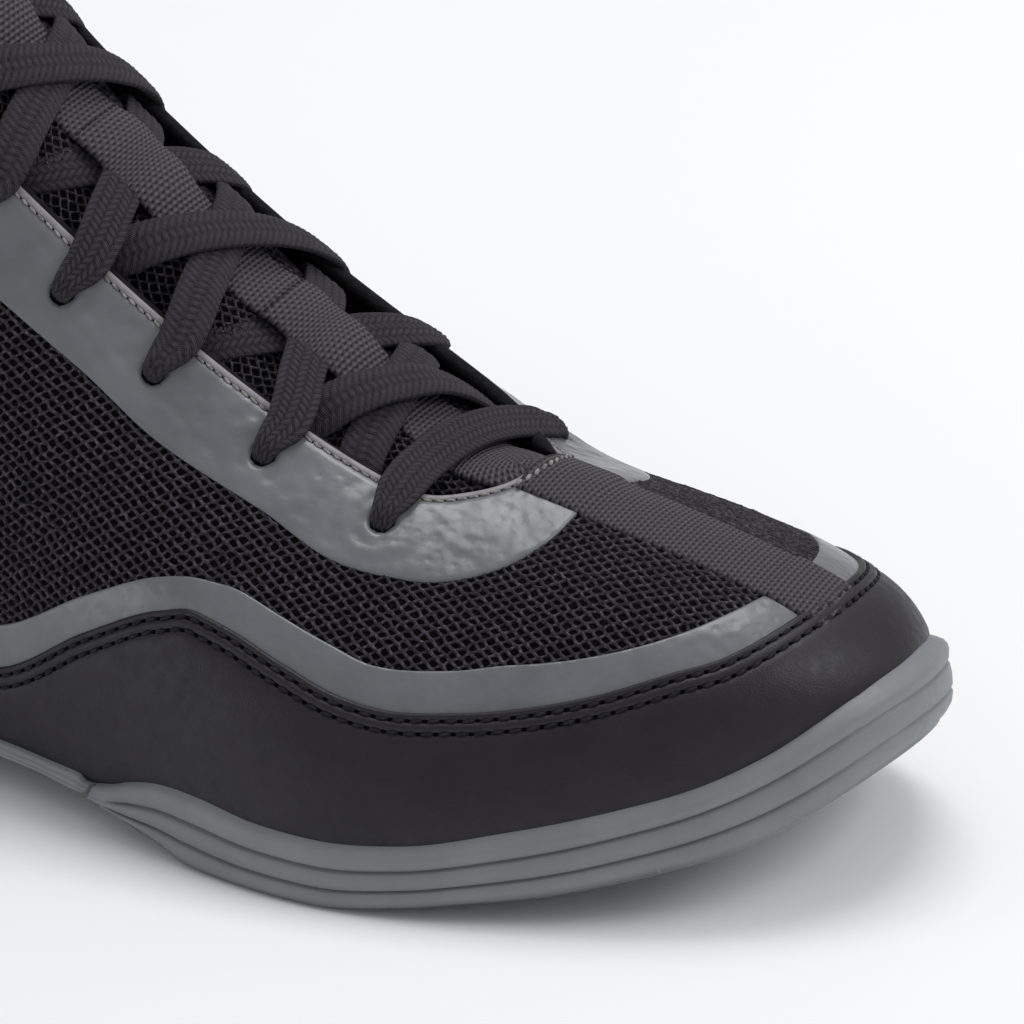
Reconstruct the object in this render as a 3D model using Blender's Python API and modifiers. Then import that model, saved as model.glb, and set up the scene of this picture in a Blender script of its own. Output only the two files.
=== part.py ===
"""Boxing shoe for the right foot: outsole, insole, upper, tongue and lace.

The tables are in millimetres, with x measured from the heel towards the toe.
The finished part is in metres, +X to the toe, +Y to the inner side of the foot,
+Z up, with the middle of its footprint on the origin.
"""
import bpy
import bmesh
import numpy as np

MM = 0.001

# ---------------------------------------------------------------- driving sizes
WALL = 2.0             # upper, mesh with its lining
GAP = 0.3              # between curved pieces that meet
INSOLE_INSET = 3.0
INSOLE_THICK = 3.4
TONGUE_THICK = 3.0
TONGUE_GAP = 0.6       # tongue to the inside of the upper
TONGUE_TUCK = 9.0      # tongue under each side of the throat
TONGUE_TOP = (0.0, 11.0, 22.0, 31.0)    # free top, rise above its last section
ARCH_PULL = 0.30       # crown across the throat, share of its width
LACE_WIDE = 6.2
LACE_THICK = 1.8
LACE_LIFT = 1.6        # lace above the upper, to its middle
LACE_TOP = 1.6         # rise of the upper strip of a crossing, and of the one under it
LACE_UNDER = 0.6
BAR_CLEAR = 0.40       # first crossing starts this share of the way to the second eyelets
EYELET_INSET = 7.6     # eyelet to the throat's edge

# eyelets along the throat's edge, from its front
EYELET_COLS = ("lateral", "medial")
EYELETS = ((24.5, 17.0), (45.3, 42.0), (67.2, 62.0), (86.5, 82.0),
           (106.0, 101.0), (125.5, 120.0), (144.5, 139.0), (163.0, 158.0))

# steps of the nets
LAP = 3                # stations in a row of the forefoot
LAP_BACK = 2           # stations in a row behind it
RISE = 14              # steps up the upper's wall

# outsole along its length: heights of the tread, of the bed the upper stands on, and of the rim
SOLE_COLS = ("x", "tread", "bed", "rim")
SOLE = (
    (-3.0, 3.6, 5.4, 13.6), (10.0, 0.8, 5.1, 13.0), (22.0, 0.0, 5.0, 12.6),
    (72.0, 0.0, 5.0, 12.0), (84.0, 0.8, 5.2, 11.2), (92.0, 3.0, 5.6, 9.0),
    (99.0, 4.6, 6.1, 6.8), (122.0, 5.2, 6.9, 7.4), (146.0, 5.0, 6.7, 7.2),
    (158.0, 4.7, 6.3, 6.9), (166.0, 3.7, 5.9, 7.6), (173.0, 2.2, 5.4, 10.0),
    (179.0, 1.0, 5.1, 10.8), (186.0, 0.0, 4.7, 11.0), (196.0, 0.0, 4.5, 10.5),
    (209.0, 0.0, 4.5, 10.2), (222.0, 1.5, 5.8, 11.3), (237.0, 4.3, 8.7, 14.7),
    (251.0, 7.8, 12.4, 18.4), (264.0, 11.4, 16.4, 23.2), (275.0, 15.8, 21.2, 29.4),
    (282.0, 20.2, 25.8, 36.0), (286.0, 23.0, 28.4, 38.4))

# outsole wall from the tread up: share of its height, and how far it stands out
WALL_COLS = ("share", "out")
SOLE_WALL = (
    (0.00, 1.9), (0.05, 3.0), (0.15, 3.6), (0.32, 3.8), (0.355, 3.1), (0.39, 3.4),
    (0.60, 3.1), (0.645, 2.4), (0.69, 2.7), (0.90, 2.2), (1.00, 1.5))

# the last: a row for each rib of the upper, from the toe round to the heel.
# x, lateral, medial: where the rib stands; edge_*: where it ends at throat or collar;
# lean and pull shape its foot, tilt and reach its end; wide and high: how much
# farther out and higher the edge is on the medial side
LAST_COLS = ("name", "x", "lateral", "medial", "edge_x", "edge_y", "edge_z",
             "lean", "pull", "tilt", "reach", "wide", "high")
LAST = (
    ("tip", 281.2, 5.0, 5.0, 219.2, 0.0, 56.0, -5.0, 14.6, 12.5, 44.0, 0.0, 0.0),
    ("toe", 276.0, -12.4, 23.3, 217.6, 6.8, 55.0, -2.0, 16.6, 16.5, 45.0, 2.0, -1.6),
    ("corner", 262.0, -27.6, 35.4, 211.6, 12.6, 53.8, 0.0, 17.0, 24.0, 39.0, 2.2, -1.4),
    ("joint", 238.0, -41.8, 41.0, 204.5, 16.2, 54.6, 3.0, 18.0, 29.5, 31.0, 2.6, 0.4),
    ("ball", 207.0, -50.2, 43.0, 188.0, 16.8, 60.8, 6.0, 20.8, 35.0, 25.5, 3.0, 2.4),
    ("behind", 176.0, -45.2, 39.5, 167.0, 16.6, 71.3, 6.0, 24.0, 43.5, 23.5, 3.0, 3.0),
    ("waist", 145.0, -37.8, 32.5, 144.8, 16.5, 85.3, 6.0, 28.0, 54.5, 24.5, 3.0, 3.0),
    ("shank", 118.0, -33.2, 28.4, 122.0, 16.6, 102.8, 6.0, 33.0, 65.0, 27.5, 3.0, 2.6),
    ("ankle", 96.0, -31.8, 28.4, 106.6, 17.2, 122.0, 8.0, 38.0, 73.0, 31.0, 2.6, 2.0),
    ("front", 79.0, -31.6, 29.2, 99.6, 18.6, 145.0, 9.0, 42.0, 80.0, 34.0, 1.6, 1.0),
    ("point", 66.0, -31.8, 29.8, 96.0, 22.0, 164.0, 9.0, 44.0, 87.0, 42.0, 0.6, 0.2),
    ("collar", 49.0, -31.8, 30.4, 77.0, 32.0, 168.5, 9.0, 45.0, 93.0, 50.0, 0.0, 0.0),
    ("quarter", 27.0, -28.6, 27.8, 41.0, 33.0, 166.0, 10.0, 44.0, 96.0, 58.0, 0.0, 0.0),
    ("counter", 9.0, -16.5, 16.2, 15.0, 20.5, 165.0, 11.0, 40.0, 99.0, 60.0, 0.0, 0.0),
    ("back", 2.5, 0.0, 0.0, 7.4, 0.0, 166.5, 12.0, 38.0, 101.0, 60.0, 0.0, 0.0))
FOREFOOT_ROWS = 5

# name: colour, roughness
FINISH = {
    "rubber_grey": ((0.175, 0.19, 0.197), 0.55),
    "mesh_black": ((0.012, 0.011, 0.013), 0.85),
    "tongue_black": ((0.014, 0.013, 0.015), 0.9),
    "insole_black": ((0.02, 0.02, 0.022), 0.9),
    "lace_charcoal": ((0.036, 0.033, 0.037), 0.85),
}


# ---------------------------------------------------------------- curves through tables
def line_through(knots, values):
    """Monotone cubic through a short table."""
    knots = np.asarray(knots, float)
    values = np.asarray(values, float)
    step = np.diff(knots)
    rise = np.diff(values) / step
    slope = np.concatenate([rise[:1], np.zeros(len(knots) - 2), rise[-1:]])
    for i in range(1, len(knots) - 1):
        if rise[i - 1] * rise[i] > 0:
            a, b = 2 * step[i] + step[i - 1], step[i] + 2 * step[i - 1]
            slope[i] = (a + b) / (a / rise[i - 1] + b / rise[i])

    def at(x):
        x = np.clip(np.asarray(x, float), knots[0], knots[-1])
        i = np.clip(np.searchsorted(knots, x, side="right") - 1, 0, len(knots) - 2)
        s = (x - knots[i]) / step[i]
        return (values[i] * (1 + 2 * s) * (1 - s) ** 2 + slope[i] * step[i] * s * (1 - s) ** 2
                + values[i + 1] * s * s * (3 - 2 * s) + slope[i + 1] * step[i] * s * s * (s - 1))
    return at


def loop_through(knots, values, period):
    """Smooth closed cubic through a ring of rows."""
    count = len(knots)
    step = np.append(np.diff(knots), knots[0] + period - knots[-1])
    left = np.zeros((count, count))
    right = np.zeros_like(values)
    for i in range(count):
        j, a, b = (i + 1) % count, step[i - 1], step[i]
        left[i, i - 1] += a
        left[i, i] += 2 * (a + b)
        left[i, j] += b
        right[i] = 6 * ((values[j] - values[i]) / b - (values[i] - values[i - 1]) / a)
    bend = np.linalg.solve(left, right)

    def at(u):
        u = (np.asarray(u, float) - knots[0]) % period + knots[0]
        i = np.clip(np.searchsorted(knots, u, side="right") - 1, 0, count - 1)
        j = (i + 1) % count
        h = step[i][..., None]
        a = (u - knots[i])[..., None]
        b = h - a
        return ((bend[i] * b ** 3 + bend[j] * a ** 3) / (6 * h)
                + (values[i] / h - bend[i] * h / 6) * b + (values[j] / h - bend[j] * h / 6) * a)
    return at


def ring_of_rows():
    """Rows in order round the foot: toe, lateral side, heel, medial side."""
    ring = [(row, -1) for row in LAST] + [(row, 1) for row in LAST[-2:0:-1]]
    values = []
    for row, side in ring:
        size = dict(zip(LAST_COLS, row))
        inner = side > 0
        values.append((size["x"], size["medial"] if inner else size["lateral"], size["edge_x"],
                       side * (size["edge_y"] + inner * size["wide"]), size["edge_z"] + inner * size["high"],
                       size["lean"], size["pull"], size["tilt"], size["reach"]))
    lateral = np.array([(row[1], row[2]) for row in LAST])
    medial = np.array([(row[1], row[3]) for row in LAST])
    leg = 0.5 * (np.hypot(*np.diff(lateral, axis=0).T) + np.hypot(*np.diff(medial, axis=0).T))
    side = np.concatenate([[0], np.cumsum(leg)])
    knots = np.concatenate([side, 2 * side[-1] - side[-2:0:-1]]) / (2 * side[-1])
    return knots, np.array(values)


tread_z, bed_z, rim_z = (line_through([row[0] for row in SOLE], [row[i] for row in SOLE])
                         for i in (1, 2, 3))
KNOTS, VALUES = ring_of_rows()
last_at = loop_through(KNOTS, VALUES, 1.0)
ROW_AT = {row[0]: KNOTS[i] for i, row in enumerate(LAST)}


# ---------------------------------------------------------------- the upper's own function
def ribs(u):
    """Rib at each station: foot, two handles, edge, and the outward direction in plan."""
    u = np.atleast_1d(np.asarray(u, float))
    v = last_at(u)
    run = last_at(u + 1e-4)[:, :2] - last_at(u - 1e-4)[:, :2]
    run /= np.linalg.norm(run, axis=1)[:, None]
    out = np.stack([-run[:, 1], run[:, 0], np.zeros(len(u))], 1)
    up = np.array([0.0, 0.0, 1.0])
    foot = np.stack([v[:, 0], v[:, 1], bed_z(v[:, 0]) + GAP], 1)
    edge = v[:, 2:5]
    lean, tilt = np.radians(v[:, 5:6]), np.radians(v[:, 7:8])
    low = foot + v[:, 6:7] * (np.cos(lean) * up + np.sin(lean) * out)
    high = edge + v[:, 8:9] * (np.cos(tilt) * out - np.sin(tilt) * up)
    return foot, low, high, edge, out


def upper_at(u, t):
    """Outer face of the upper at matching arrays of station u and height t."""
    foot, low, high, edge, _ = ribs(u)
    t = np.broadcast_to(np.asarray(t, float), (len(foot),))[:, None]
    return (foot * (1 - t) ** 3 + 3 * low * t * (1 - t) ** 2
            + 3 * high * t * t * (1 - t) + edge * t ** 3)


def normal_at(u, t):
    """Outward unit normal of the upper."""
    u = np.atleast_1d(np.asarray(u, float))
    t = np.broadcast_to(np.asarray(t, float), u.shape)
    along = upper_at(u + 5e-4, t) - upper_at(u - 5e-4, t)
    high = upper_at(u, t) - upper_at(u, t - 1e-3)
    normal = np.cross(high, along)
    return normal / np.linalg.norm(normal, axis=1)[:, None]


def stations():
    """Stations round the foot, the same on both sides."""
    side = np.concatenate([np.linspace(KNOTS[i], KNOTS[i + 1], LAP if i < FOREFOOT_ROWS else LAP_BACK,
                                       endpoint=False) for i in range(len(LAST) - 1)])
    return np.concatenate([side, [0.5], 1 - side[:0:-1]])


def height_to_share(u, z):
    """Height t on each rib where the upper reaches z, near its foot."""
    low, high = np.zeros(len(u)), np.full(len(u), 0.6)
    for _ in range(40):
        mid = 0.5 * (low + high)
        below = upper_at(u, mid)[:, 2] < z
        low, high = np.where(below, mid, low), np.where(below, high, mid)
    return low


# ---------------------------------------------------------------- the throat
EDGE_U = np.linspace(0.0, ROW_AT["point"], 3000)
EDGE_RUN = np.concatenate([[0], np.cumsum(np.linalg.norm(np.diff(ribs(EDGE_U)[3], axis=0), axis=1))])


def inset(run, away, side):
    """Point and normal on the upper, run along the throat's edge and away from it."""
    run = np.atleast_1d(np.asarray(run, float))
    away = np.broadcast_to(np.asarray(away, float), run.shape)
    u = np.interp(run, EDGE_RUN, EDGE_U)
    if side > 0:
        u = 1 - u
    edge = ribs(u)[3]
    along = ribs(u + 2e-4)[3] - ribs(u - 2e-4)[3]
    along /= np.linalg.norm(along, axis=1)[:, None]
    down = upper_at(u, 0.98) - edge
    down -= (down * along).sum(1)[:, None] * along
    down /= np.linalg.norm(down, axis=1)[:, None]
    goal = edge + down * away[:, None]
    t = np.ones_like(u)
    for _ in range(12):
        here = upper_at(u, t)
        du = (upper_at(u + 1e-4, t) - upper_at(u - 1e-4, t)) / 2e-4
        dt = (upper_at(u, t) - upper_at(u, t - 1e-3)) / 1e-3
        miss = goal - here
        a, b, c = (du * du).sum(1), (du * dt).sum(1), (dt * dt).sum(1)
        p, q = (du * miss).sum(1), (dt * miss).sum(1)
        det = a * c - b * b
        u = u + 0.8 * np.clip((p * c - q * b) / det, -0.02, 0.02)
        t = np.minimum(t + 0.8 * np.clip((q * a - p * b) / det, -0.1, 0.1), 1.0)
    return upper_at(u, t), normal_at(u, t)


def arch(run_l, run_m, share, lift):
    """Point over the throat: share -1 on the lateral edge, 1 on the medial, lift above the edges."""
    (a, an), (b, bn) = inset(run_l, 0.0, -1), inset(run_m, 0.0, 1)
    a2, b2 = inset(run_l, 2.0, -1)[0], inset(run_m, 2.0, 1)[0]
    rise_a = (a - a2) / np.linalg.norm(a - a2, axis=1)[:, None]
    rise_b = (b - b2) / np.linalg.norm(b - b2, axis=1)[:, None]
    lift = np.broadcast_to(np.asarray(lift, float), (len(a),))[:, None]
    a, b = a + an * lift, b + bn * lift
    pull = ARCH_PULL * np.linalg.norm(b - a, axis=1)[:, None]
    s = 0.5 * (np.broadcast_to(np.asarray(share, float), (len(a),))[:, None] + 1)
    return (a * (1 - s) ** 3 + 3 * (a + rise_a * pull) * s * (1 - s) ** 2
            + 3 * (b + rise_b * pull) * s * s * (1 - s) + b * s ** 3)


# ---------------------------------------------------------------- meshes
def centre_of_footprint():
    foot, _, _, _, out = ribs(stations())
    far = foot + out * max(row[1] for row in SOLE_WALL)
    return 0.5 * (far.min(0) + far.max(0)) * np.array([1.0, 1.0, 0.0])


CENTRE = centre_of_footprint()


def material(name):
    colour, rough = FINISH[name]
    mat = bpy.data.materials.new(name)
    mat.use_nodes = True
    shader = mat.node_tree.nodes["Principled BSDF"]
    shader.inputs["Base Color"].default_value = (*colour, 1.0)
    shader.inputs["Roughness"].default_value = rough
    shader.inputs["Metallic"].default_value = 0.0
    mat.diffuse_color = (*colour, 1.0)
    return mat


def new_object(name, bm, mat, home):
    bmesh.ops.recalc_face_normals(bm, faces=bm.faces)
    mesh = bpy.data.meshes.new(name)
    bm.to_mesh(mesh)
    bm.free()
    obj = bpy.data.objects.new(name, mesh)
    obj.data.materials.append(mat)
    home.objects.link(obj)
    return obj


def vertices(bm, points):
    return [bm.verts.new((np.asarray(p) - CENTRE) * MM) for p in points]


def net(grid, closed):
    """Open surface through a grid of sections, its first index round or along."""
    bm = bmesh.new()
    rows = [vertices(bm, section) for section in grid]
    for i in range(len(rows) if closed else len(rows) - 1):
        a, b = rows[i], rows[(i + 1) % len(rows)]
        for k in range(len(a) - 1):
            bm.faces.new((a[k], b[k], b[k + 1], a[k + 1]))
    return bm


def shell(name, grid, closed, thick, side, mat, home):
    """Open surface thickened with Solidify; side -1 thickens away from out, 0 both ways."""
    obj = new_object(name, net(grid, closed), mat, home)
    solid = obj.modifiers.new("thickness", "SOLIDIFY")
    solid.thickness = thick * MM
    solid.offset = side
    solid.use_even_offset = True
    solid.use_quality_normals = True
    return obj


def face_out(obj, sample, outward):
    """Turn the open surface so that the face nearest sample looks outward."""
    target = (np.asarray(sample) - CENTRE) * MM
    mesh = obj.data
    near = min(mesh.polygons, key=lambda p: (np.array(p.center) - target) @ (np.array(p.center) - target))
    if np.array(near.normal) @ np.asarray(outward) < 0:
        mesh.flip_normals()
    return obj


def cup(name, rings, mat, home):
    """Closed solid through rings, its first and last ring closed by strips across."""
    bm = bmesh.new()
    loops = [vertices(bm, ring) for ring in rings]
    count = len(loops[0])
    for a, b in zip(loops, loops[1:]):
        for i in range(count):
            j = (i + 1) % count
            bm.faces.new((a[i], a[j], b[j], b[i]))
    half = count // 2
    for ring in (loops[0], loops[-1]):
        bm.faces.new((ring[0], ring[1], ring[count - 1]))
        for i in range(1, half - 1):
            bm.faces.new((ring[i], ring[i + 1], ring[count - i - 1], ring[count - i]))
        bm.faces.new((ring[half - 1], ring[half], ring[half + 1]))
    return new_object(name, bm, mat, home)


# ---------------------------------------------------------------- pieces
def make_outsole(home):
    u = stations()
    foot, _, _, _, out = ribs(u)
    rings = []
    for share, away in SOLE_WALL:
        ring = foot + out * away
        low, high = tread_z(ring[:, 0]), rim_z(ring[:, 0])
        ring[:, 2] = low + share * (high - low)
        rings.append(ring)
    top = rings[-1][:, 2]
    for share in (1.0, 0.6, 0.3):
        height = bed_z(foot[:, 0]) + GAP + share * (top - bed_z(foot[:, 0]) - GAP)
        ring = upper_at(u, height_to_share(u, height)) + out * GAP
        ring[:, 2] = height
        rings.append(ring)
    bed = foot + out * GAP
    bed[:, 2] = bed_z(bed[:, 0])
    rings.append(bed)
    return cup("outsole", rings, material("rubber_grey"), home)


def make_upper(home):
    u = stations()
    rise = np.linspace(0.0, 1.0, RISE + 1)
    grid = np.stack([upper_at(u, t) for t in rise], 1)
    obj = shell("upper", grid, True, WALL, -1, material("mesh_black"), home)
    return face_out(obj, upper_at(0.15, 0.3)[0], ribs(0.15)[4][0])


def make_insole(home):
    u = stations()
    foot, _, _, _, out = ribs(u)
    rim = foot - out * INSOLE_INSET
    half = len(u) // 2
    across = np.linspace(0.0, 1.0, 5)[:, None]
    grid = []
    for i in range(1, half):
        strip = rim[i] * (1 - across) + rim[len(u) - i] * across
        strip[:, 2] = bed_z(strip[:, 0]) + GAP
        grid.append(strip)
    obj = shell("insole", grid, False, INSOLE_THICK, -1, material("insole_black"), home)
    return face_out(obj, grid[half // 2][2], (0, 0, -1))


def tongue_section(run, drop):
    """Section of the tongue's outer face, from under one side of the throat to under the other."""
    tuck = TONGUE_TUCK * np.array([1.0, 0.66, 0.33])
    lateral = [p - n * drop for p, n in (inset(run, d, -1) for d in tuck)]
    medial = [p - n * drop for p, n in (inset(run, d, 1) for d in tuck[::-1])]
    middle = [arch(run, run, s, -drop) for s in (-1.0, -0.62, -0.3, 0.0, 0.3, 0.62, 1.0)]
    return np.concatenate(lateral + middle + medial)


def make_tongue(home):
    drop = WALL + TONGUE_GAP
    runs = np.concatenate([np.linspace(1.6, 22.0, 7), np.linspace(31.0, EYELETS[-1][0] + 3.0, 17)])
    grid = [tongue_section(np.array([run]), drop) for run in runs]
    lead = grid[-1] - grid[-2]
    lead = lead.mean(0) / np.linalg.norm(lead.mean(0))
    lead = (lead + np.array([0.0, 0.0, 1.2])) / np.linalg.norm(lead + np.array([0.0, 0.0, 1.2]))
    last = grid[-1]
    middle = last.mean(0)
    for step, rise in enumerate(TONGUE_TOP[1:]):
        narrow = 1.0 - 0.05 * (step + 1) ** 1.4
        grid.append((last - middle) * np.array([1.0, narrow, 1.0]) + middle + lead * (rise + 8.0)
                    - np.array([1.0, 0.0, 0.0]))
    obj = shell("tongue", grid, False, TONGUE_THICK, -1, material("tongue_black"), home)
    return face_out(obj, grid[len(grid) // 2][6], (0.5, 0, 1))


def ribbon(name, path, mat, home, up):
    """Flat strip along a path, lying square to the up directions."""
    path, up = np.asarray(path), np.asarray(up)
    ahead = np.gradient(path, axis=0)
    wide = np.cross(ahead, up)
    wide *= 0.5 * LACE_WIDE / np.linalg.norm(wide, axis=1)[:, None]
    grid = np.stack([path - wide, path, path + wide], 1)
    return shell(name, grid, False, LACE_THICK, 0, mat, home)


def crossing_path(row, side, outside, lift):
    """Path from an eyelet of a row on one side to under the far edge at the next row."""
    shares = np.linspace(-0.96 if outside else -0.70, 0.70, 9)
    way = (shares + 1) / 2
    if not outside:
        way = BAR_CLEAR + (1 - BAR_CLEAR) * way
    low, high = np.array(EYELETS[row]), np.array(EYELETS[row + 1])
    runs = low[:, None] + (high - low)[:, None] * way
    rise = np.interp(shares, (-1.0, -0.75, -0.35, 0.0, 0.35, 0.70),
                     (LACE_LIFT, LACE_LIFT, lift, lift, lift - 0.3, -0.9))
    if not outside:
        rise = np.interp(shares, (-0.70, -0.4, 0.0, 0.4, 0.70), (-0.9, lift - 0.4, lift, lift - 0.4, -0.9))
    body = arch(runs[0], runs[1], shares * -side, rise)
    above = arch(runs[0], runs[1], shares * -side, rise + 1.0) - body
    if outside:
        run = EYELETS[row][1 if side > 0 else 0]
        points, normals = inset(np.array([run, run]), np.array([EYELET_INSET, 3.4]), side)
        body = np.concatenate([points + normals * LACE_LIFT, body])
        above = np.concatenate([normals, above])
    return body, above


def make_lace(home, cutters):
    mat = material("lace_charcoal")
    shares = np.linspace(-0.98, 0.98, 9)
    first = np.repeat(np.array(EYELETS[:1]), len(shares), axis=0).T
    near, near_up = inset(first[0][:2], np.array([EYELET_INSET, 3.4]), -1)
    far, far_up = inset(first[1][:2], np.array([3.4, EYELET_INSET]), 1)
    over = arch(first[0], first[1], shares, LACE_LIFT + 0.2)
    over_up = arch(first[0], first[1], shares, LACE_LIFT + 1.2) - over
    ribbon("lace_bar", np.concatenate([near + near_up * LACE_LIFT, over, far + far_up * LACE_LIFT]),
           mat, home, np.concatenate([near_up, over_up, far_up]))
    for row in range(len(EYELETS) - 1):
        upper_side = 1 if row % 2 == 0 else -1
        name = "lace_cross_%d" % (row + 1)
        path, up = crossing_path(row, upper_side, row > 0, LACE_TOP)
        obj = ribbon(name, path, mat, home, up)
        path, up = crossing_path(row, -upper_side, row > 0, LACE_UNDER)
        under = ribbon(name + "_under", path, mat, cutters, up)
        under.hide_render = True
        under.display_type = "WIRE"
        join = obj.modifiers.new("join", "BOOLEAN")
        join.operation = "UNION"
        join.solver = "EXACT"
        join.object = under


def main():
    for obj in list(bpy.data.objects):
        bpy.data.objects.remove(obj, do_unlink=True)
    home = bpy.data.collections.new("boxing_shoe")
    cutters = bpy.data.collections.new("cutters")
    cutters.hide_render = True
    bpy.context.scene.collection.children.link(home)
    bpy.context.scene.collection.children.link(cutters)
    make_outsole(home)
    make_insole(home)
    make_upper(home)
    make_tongue(home)
    make_lace(home, cutters)


main()
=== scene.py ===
"""Boxing shoe for the right foot, dressed: cloth, film and leather panels, seams, webbing, lace and moulded sole.

Tables are in millimetres with x from the heel, as in the part's own source.
"""
import bpy
import mathutils
import math
import numpy as np
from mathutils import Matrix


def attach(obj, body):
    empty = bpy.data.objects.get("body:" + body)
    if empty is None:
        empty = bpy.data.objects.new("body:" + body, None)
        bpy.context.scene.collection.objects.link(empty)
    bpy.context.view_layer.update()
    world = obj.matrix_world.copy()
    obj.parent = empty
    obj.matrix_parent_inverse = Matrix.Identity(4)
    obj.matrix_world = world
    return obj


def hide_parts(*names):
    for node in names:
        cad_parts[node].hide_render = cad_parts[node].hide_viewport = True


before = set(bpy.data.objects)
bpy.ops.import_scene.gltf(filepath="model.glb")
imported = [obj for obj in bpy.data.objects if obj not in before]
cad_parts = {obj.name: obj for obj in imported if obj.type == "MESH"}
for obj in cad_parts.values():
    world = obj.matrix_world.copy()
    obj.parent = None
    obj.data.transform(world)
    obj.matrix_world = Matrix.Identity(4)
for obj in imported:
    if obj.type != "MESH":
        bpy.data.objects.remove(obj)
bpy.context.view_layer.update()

MM = 0.001
GAP = 0.3
WALL = 1.7
EYELET_INSET = 7.6
ARCH_PULL = 0.30
SEED = np.random.default_rng(11)

# eyelets along the throat's edge, from its front: lateral, medial
EYELETS = ((24.5, 17.0), (45.3, 42.0), (67.2, 62.0), (86.5, 82.0),
           (106.0, 101.0), (125.5, 120.0), (144.5, 139.0), (163.0, 158.0))

# the same eyelets where the drawn-up lace holds them
LACED = ((24.5, 21.0), (45.3, 42.5), (67.2, 62.5), (86.5, 83.0),
         (106.0, 102.5), (125.5, 121.0), (144.5, 139.5), (163.0, 158.0))

# outsole along its length: x, tread, bed, rim
SOLE = (
    (-3.0, 3.6, 5.4, 13.6), (10.0, 0.8, 5.1, 13.0), (22.0, 0.0, 5.0, 12.6),
    (72.0, 0.0, 5.0, 12.0), (84.0, 0.8, 5.2, 11.2), (92.0, 3.0, 5.6, 9.0),
    (99.0, 4.6, 6.1, 6.8), (122.0, 5.2, 6.9, 7.4), (146.0, 5.0, 6.7, 7.2),
    (158.0, 4.7, 6.3, 6.9), (166.0, 3.7, 5.9, 7.6), (173.0, 2.2, 5.4, 10.0),
    (179.0, 1.0, 5.1, 10.8), (186.0, 0.0, 4.7, 11.0), (196.0, 0.0, 4.5, 10.5),
    (209.0, 0.0, 4.5, 10.2), (222.0, 1.5, 5.8, 11.3), (237.0, 4.3, 8.7, 14.7),
    (251.0, 7.8, 12.4, 18.4), (264.0, 11.4, 16.4, 23.2), (275.0, 15.8, 21.2, 29.4),
    (282.0, 20.2, 25.8, 36.0), (286.0, 23.0, 28.4, 38.4))
WALL_OUT = 3.8         # widest stand of the outsole's wall

LAST_COLS = ("name", "x", "lateral", "medial", "edge_x", "edge_y", "edge_z",
             "lean", "pull", "tilt", "reach", "wide", "high")
LAST = (
    ("tip", 281.2, 5.0, 5.0, 219.2, 0.0, 56.0, -5.0, 14.6, 12.5, 44.0, 0.0, 0.0),
    ("toe", 276.0, -12.4, 23.3, 217.6, 6.8, 55.0, -2.0, 16.6, 16.5, 45.0, 2.0, -1.6),
    ("corner", 262.0, -27.6, 35.4, 211.6, 12.6, 53.8, 0.0, 17.0, 24.0, 39.0, 2.2, -1.4),
    ("joint", 238.0, -41.8, 41.0, 204.5, 16.2, 54.6, 3.0, 18.0, 29.5, 31.0, 2.6, 0.4),
    ("ball", 207.0, -50.2, 43.0, 188.0, 16.8, 60.8, 6.0, 20.8, 35.0, 25.5, 3.0, 2.4),
    ("behind", 176.0, -45.2, 39.5, 167.0, 16.6, 71.3, 6.0, 24.0, 43.5, 23.5, 3.0, 3.0),
    ("waist", 145.0, -37.8, 32.5, 144.8, 16.5, 85.3, 6.0, 28.0, 54.5, 24.5, 3.0, 3.0),
    ("shank", 118.0, -33.2, 28.4, 122.0, 16.6, 102.8, 6.0, 33.0, 65.0, 27.5, 3.0, 2.6),
    ("ankle", 96.0, -31.8, 28.4, 106.6, 17.2, 122.0, 8.0, 38.0, 73.0, 31.0, 2.6, 2.0),
    ("front", 79.0, -31.6, 29.2, 99.6, 18.6, 145.0, 9.0, 42.0, 80.0, 34.0, 1.6, 1.0),
    ("point", 66.0, -31.8, 29.8, 96.0, 22.0, 164.0, 9.0, 44.0, 87.0, 42.0, 0.6, 0.2),
    ("collar", 49.0, -31.8, 30.4, 77.0, 32.0, 168.5, 9.0, 45.0, 93.0, 50.0, 0.0, 0.0),
    ("quarter", 27.0, -28.6, 27.8, 41.0, 33.0, 166.0, 10.0, 44.0, 96.0, 58.0, 0.0, 0.0),
    ("counter", 9.0, -16.5, 16.2, 15.0, 20.5, 165.0, 11.0, 40.0, 99.0, 60.0, 0.0, 0.0),
    ("back", 2.5, 0.0, 0.0, 7.4, 0.0, 166.5, 12.0, 38.0, 101.0, 60.0, 0.0, 0.0))

# panel edges on the upper: station round the foot, share of the height; the same on both sides
MUDGUARD_TOP = (
    (0.0, 0.476), (0.011, 0.479), (0.031, 0.477), (0.0426, 0.488), (0.0627, 0.475), (0.0853, 0.461),
    (0.1058, 0.449), (0.1241, 0.438), (0.1358, 0.448), (0.1513, 0.479), (0.1687, 0.501), (0.1786, 0.499),
    (0.1935, 0.452), (0.2222, 0.314), (0.2536, 0.153), (0.285, 0.095), (0.329, 0.10), (0.3764, 0.13),
    (0.4205, 0.175), (0.4722, 0.215), (0.5, 0.22))
FILM_TOP = (
    (0.0, 0.558), (0.0134, 0.571), (0.0283, 0.583), (0.0476, 0.590), (0.0743, 0.593), (0.0992, 0.569),
    (0.1251, 0.545), (0.1376, 0.565), (0.1502, 0.582), (0.1637, 0.593), (0.1786, 0.569), (0.1935, 0.520),
    (0.2222, 0.387), (0.2533, 0.234), (0.285, 0.165), (0.329, 0.152), (0.3764, 0.176), (0.4205, 0.219),
    (0.4722, 0.262), (0.5, 0.268))
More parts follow.
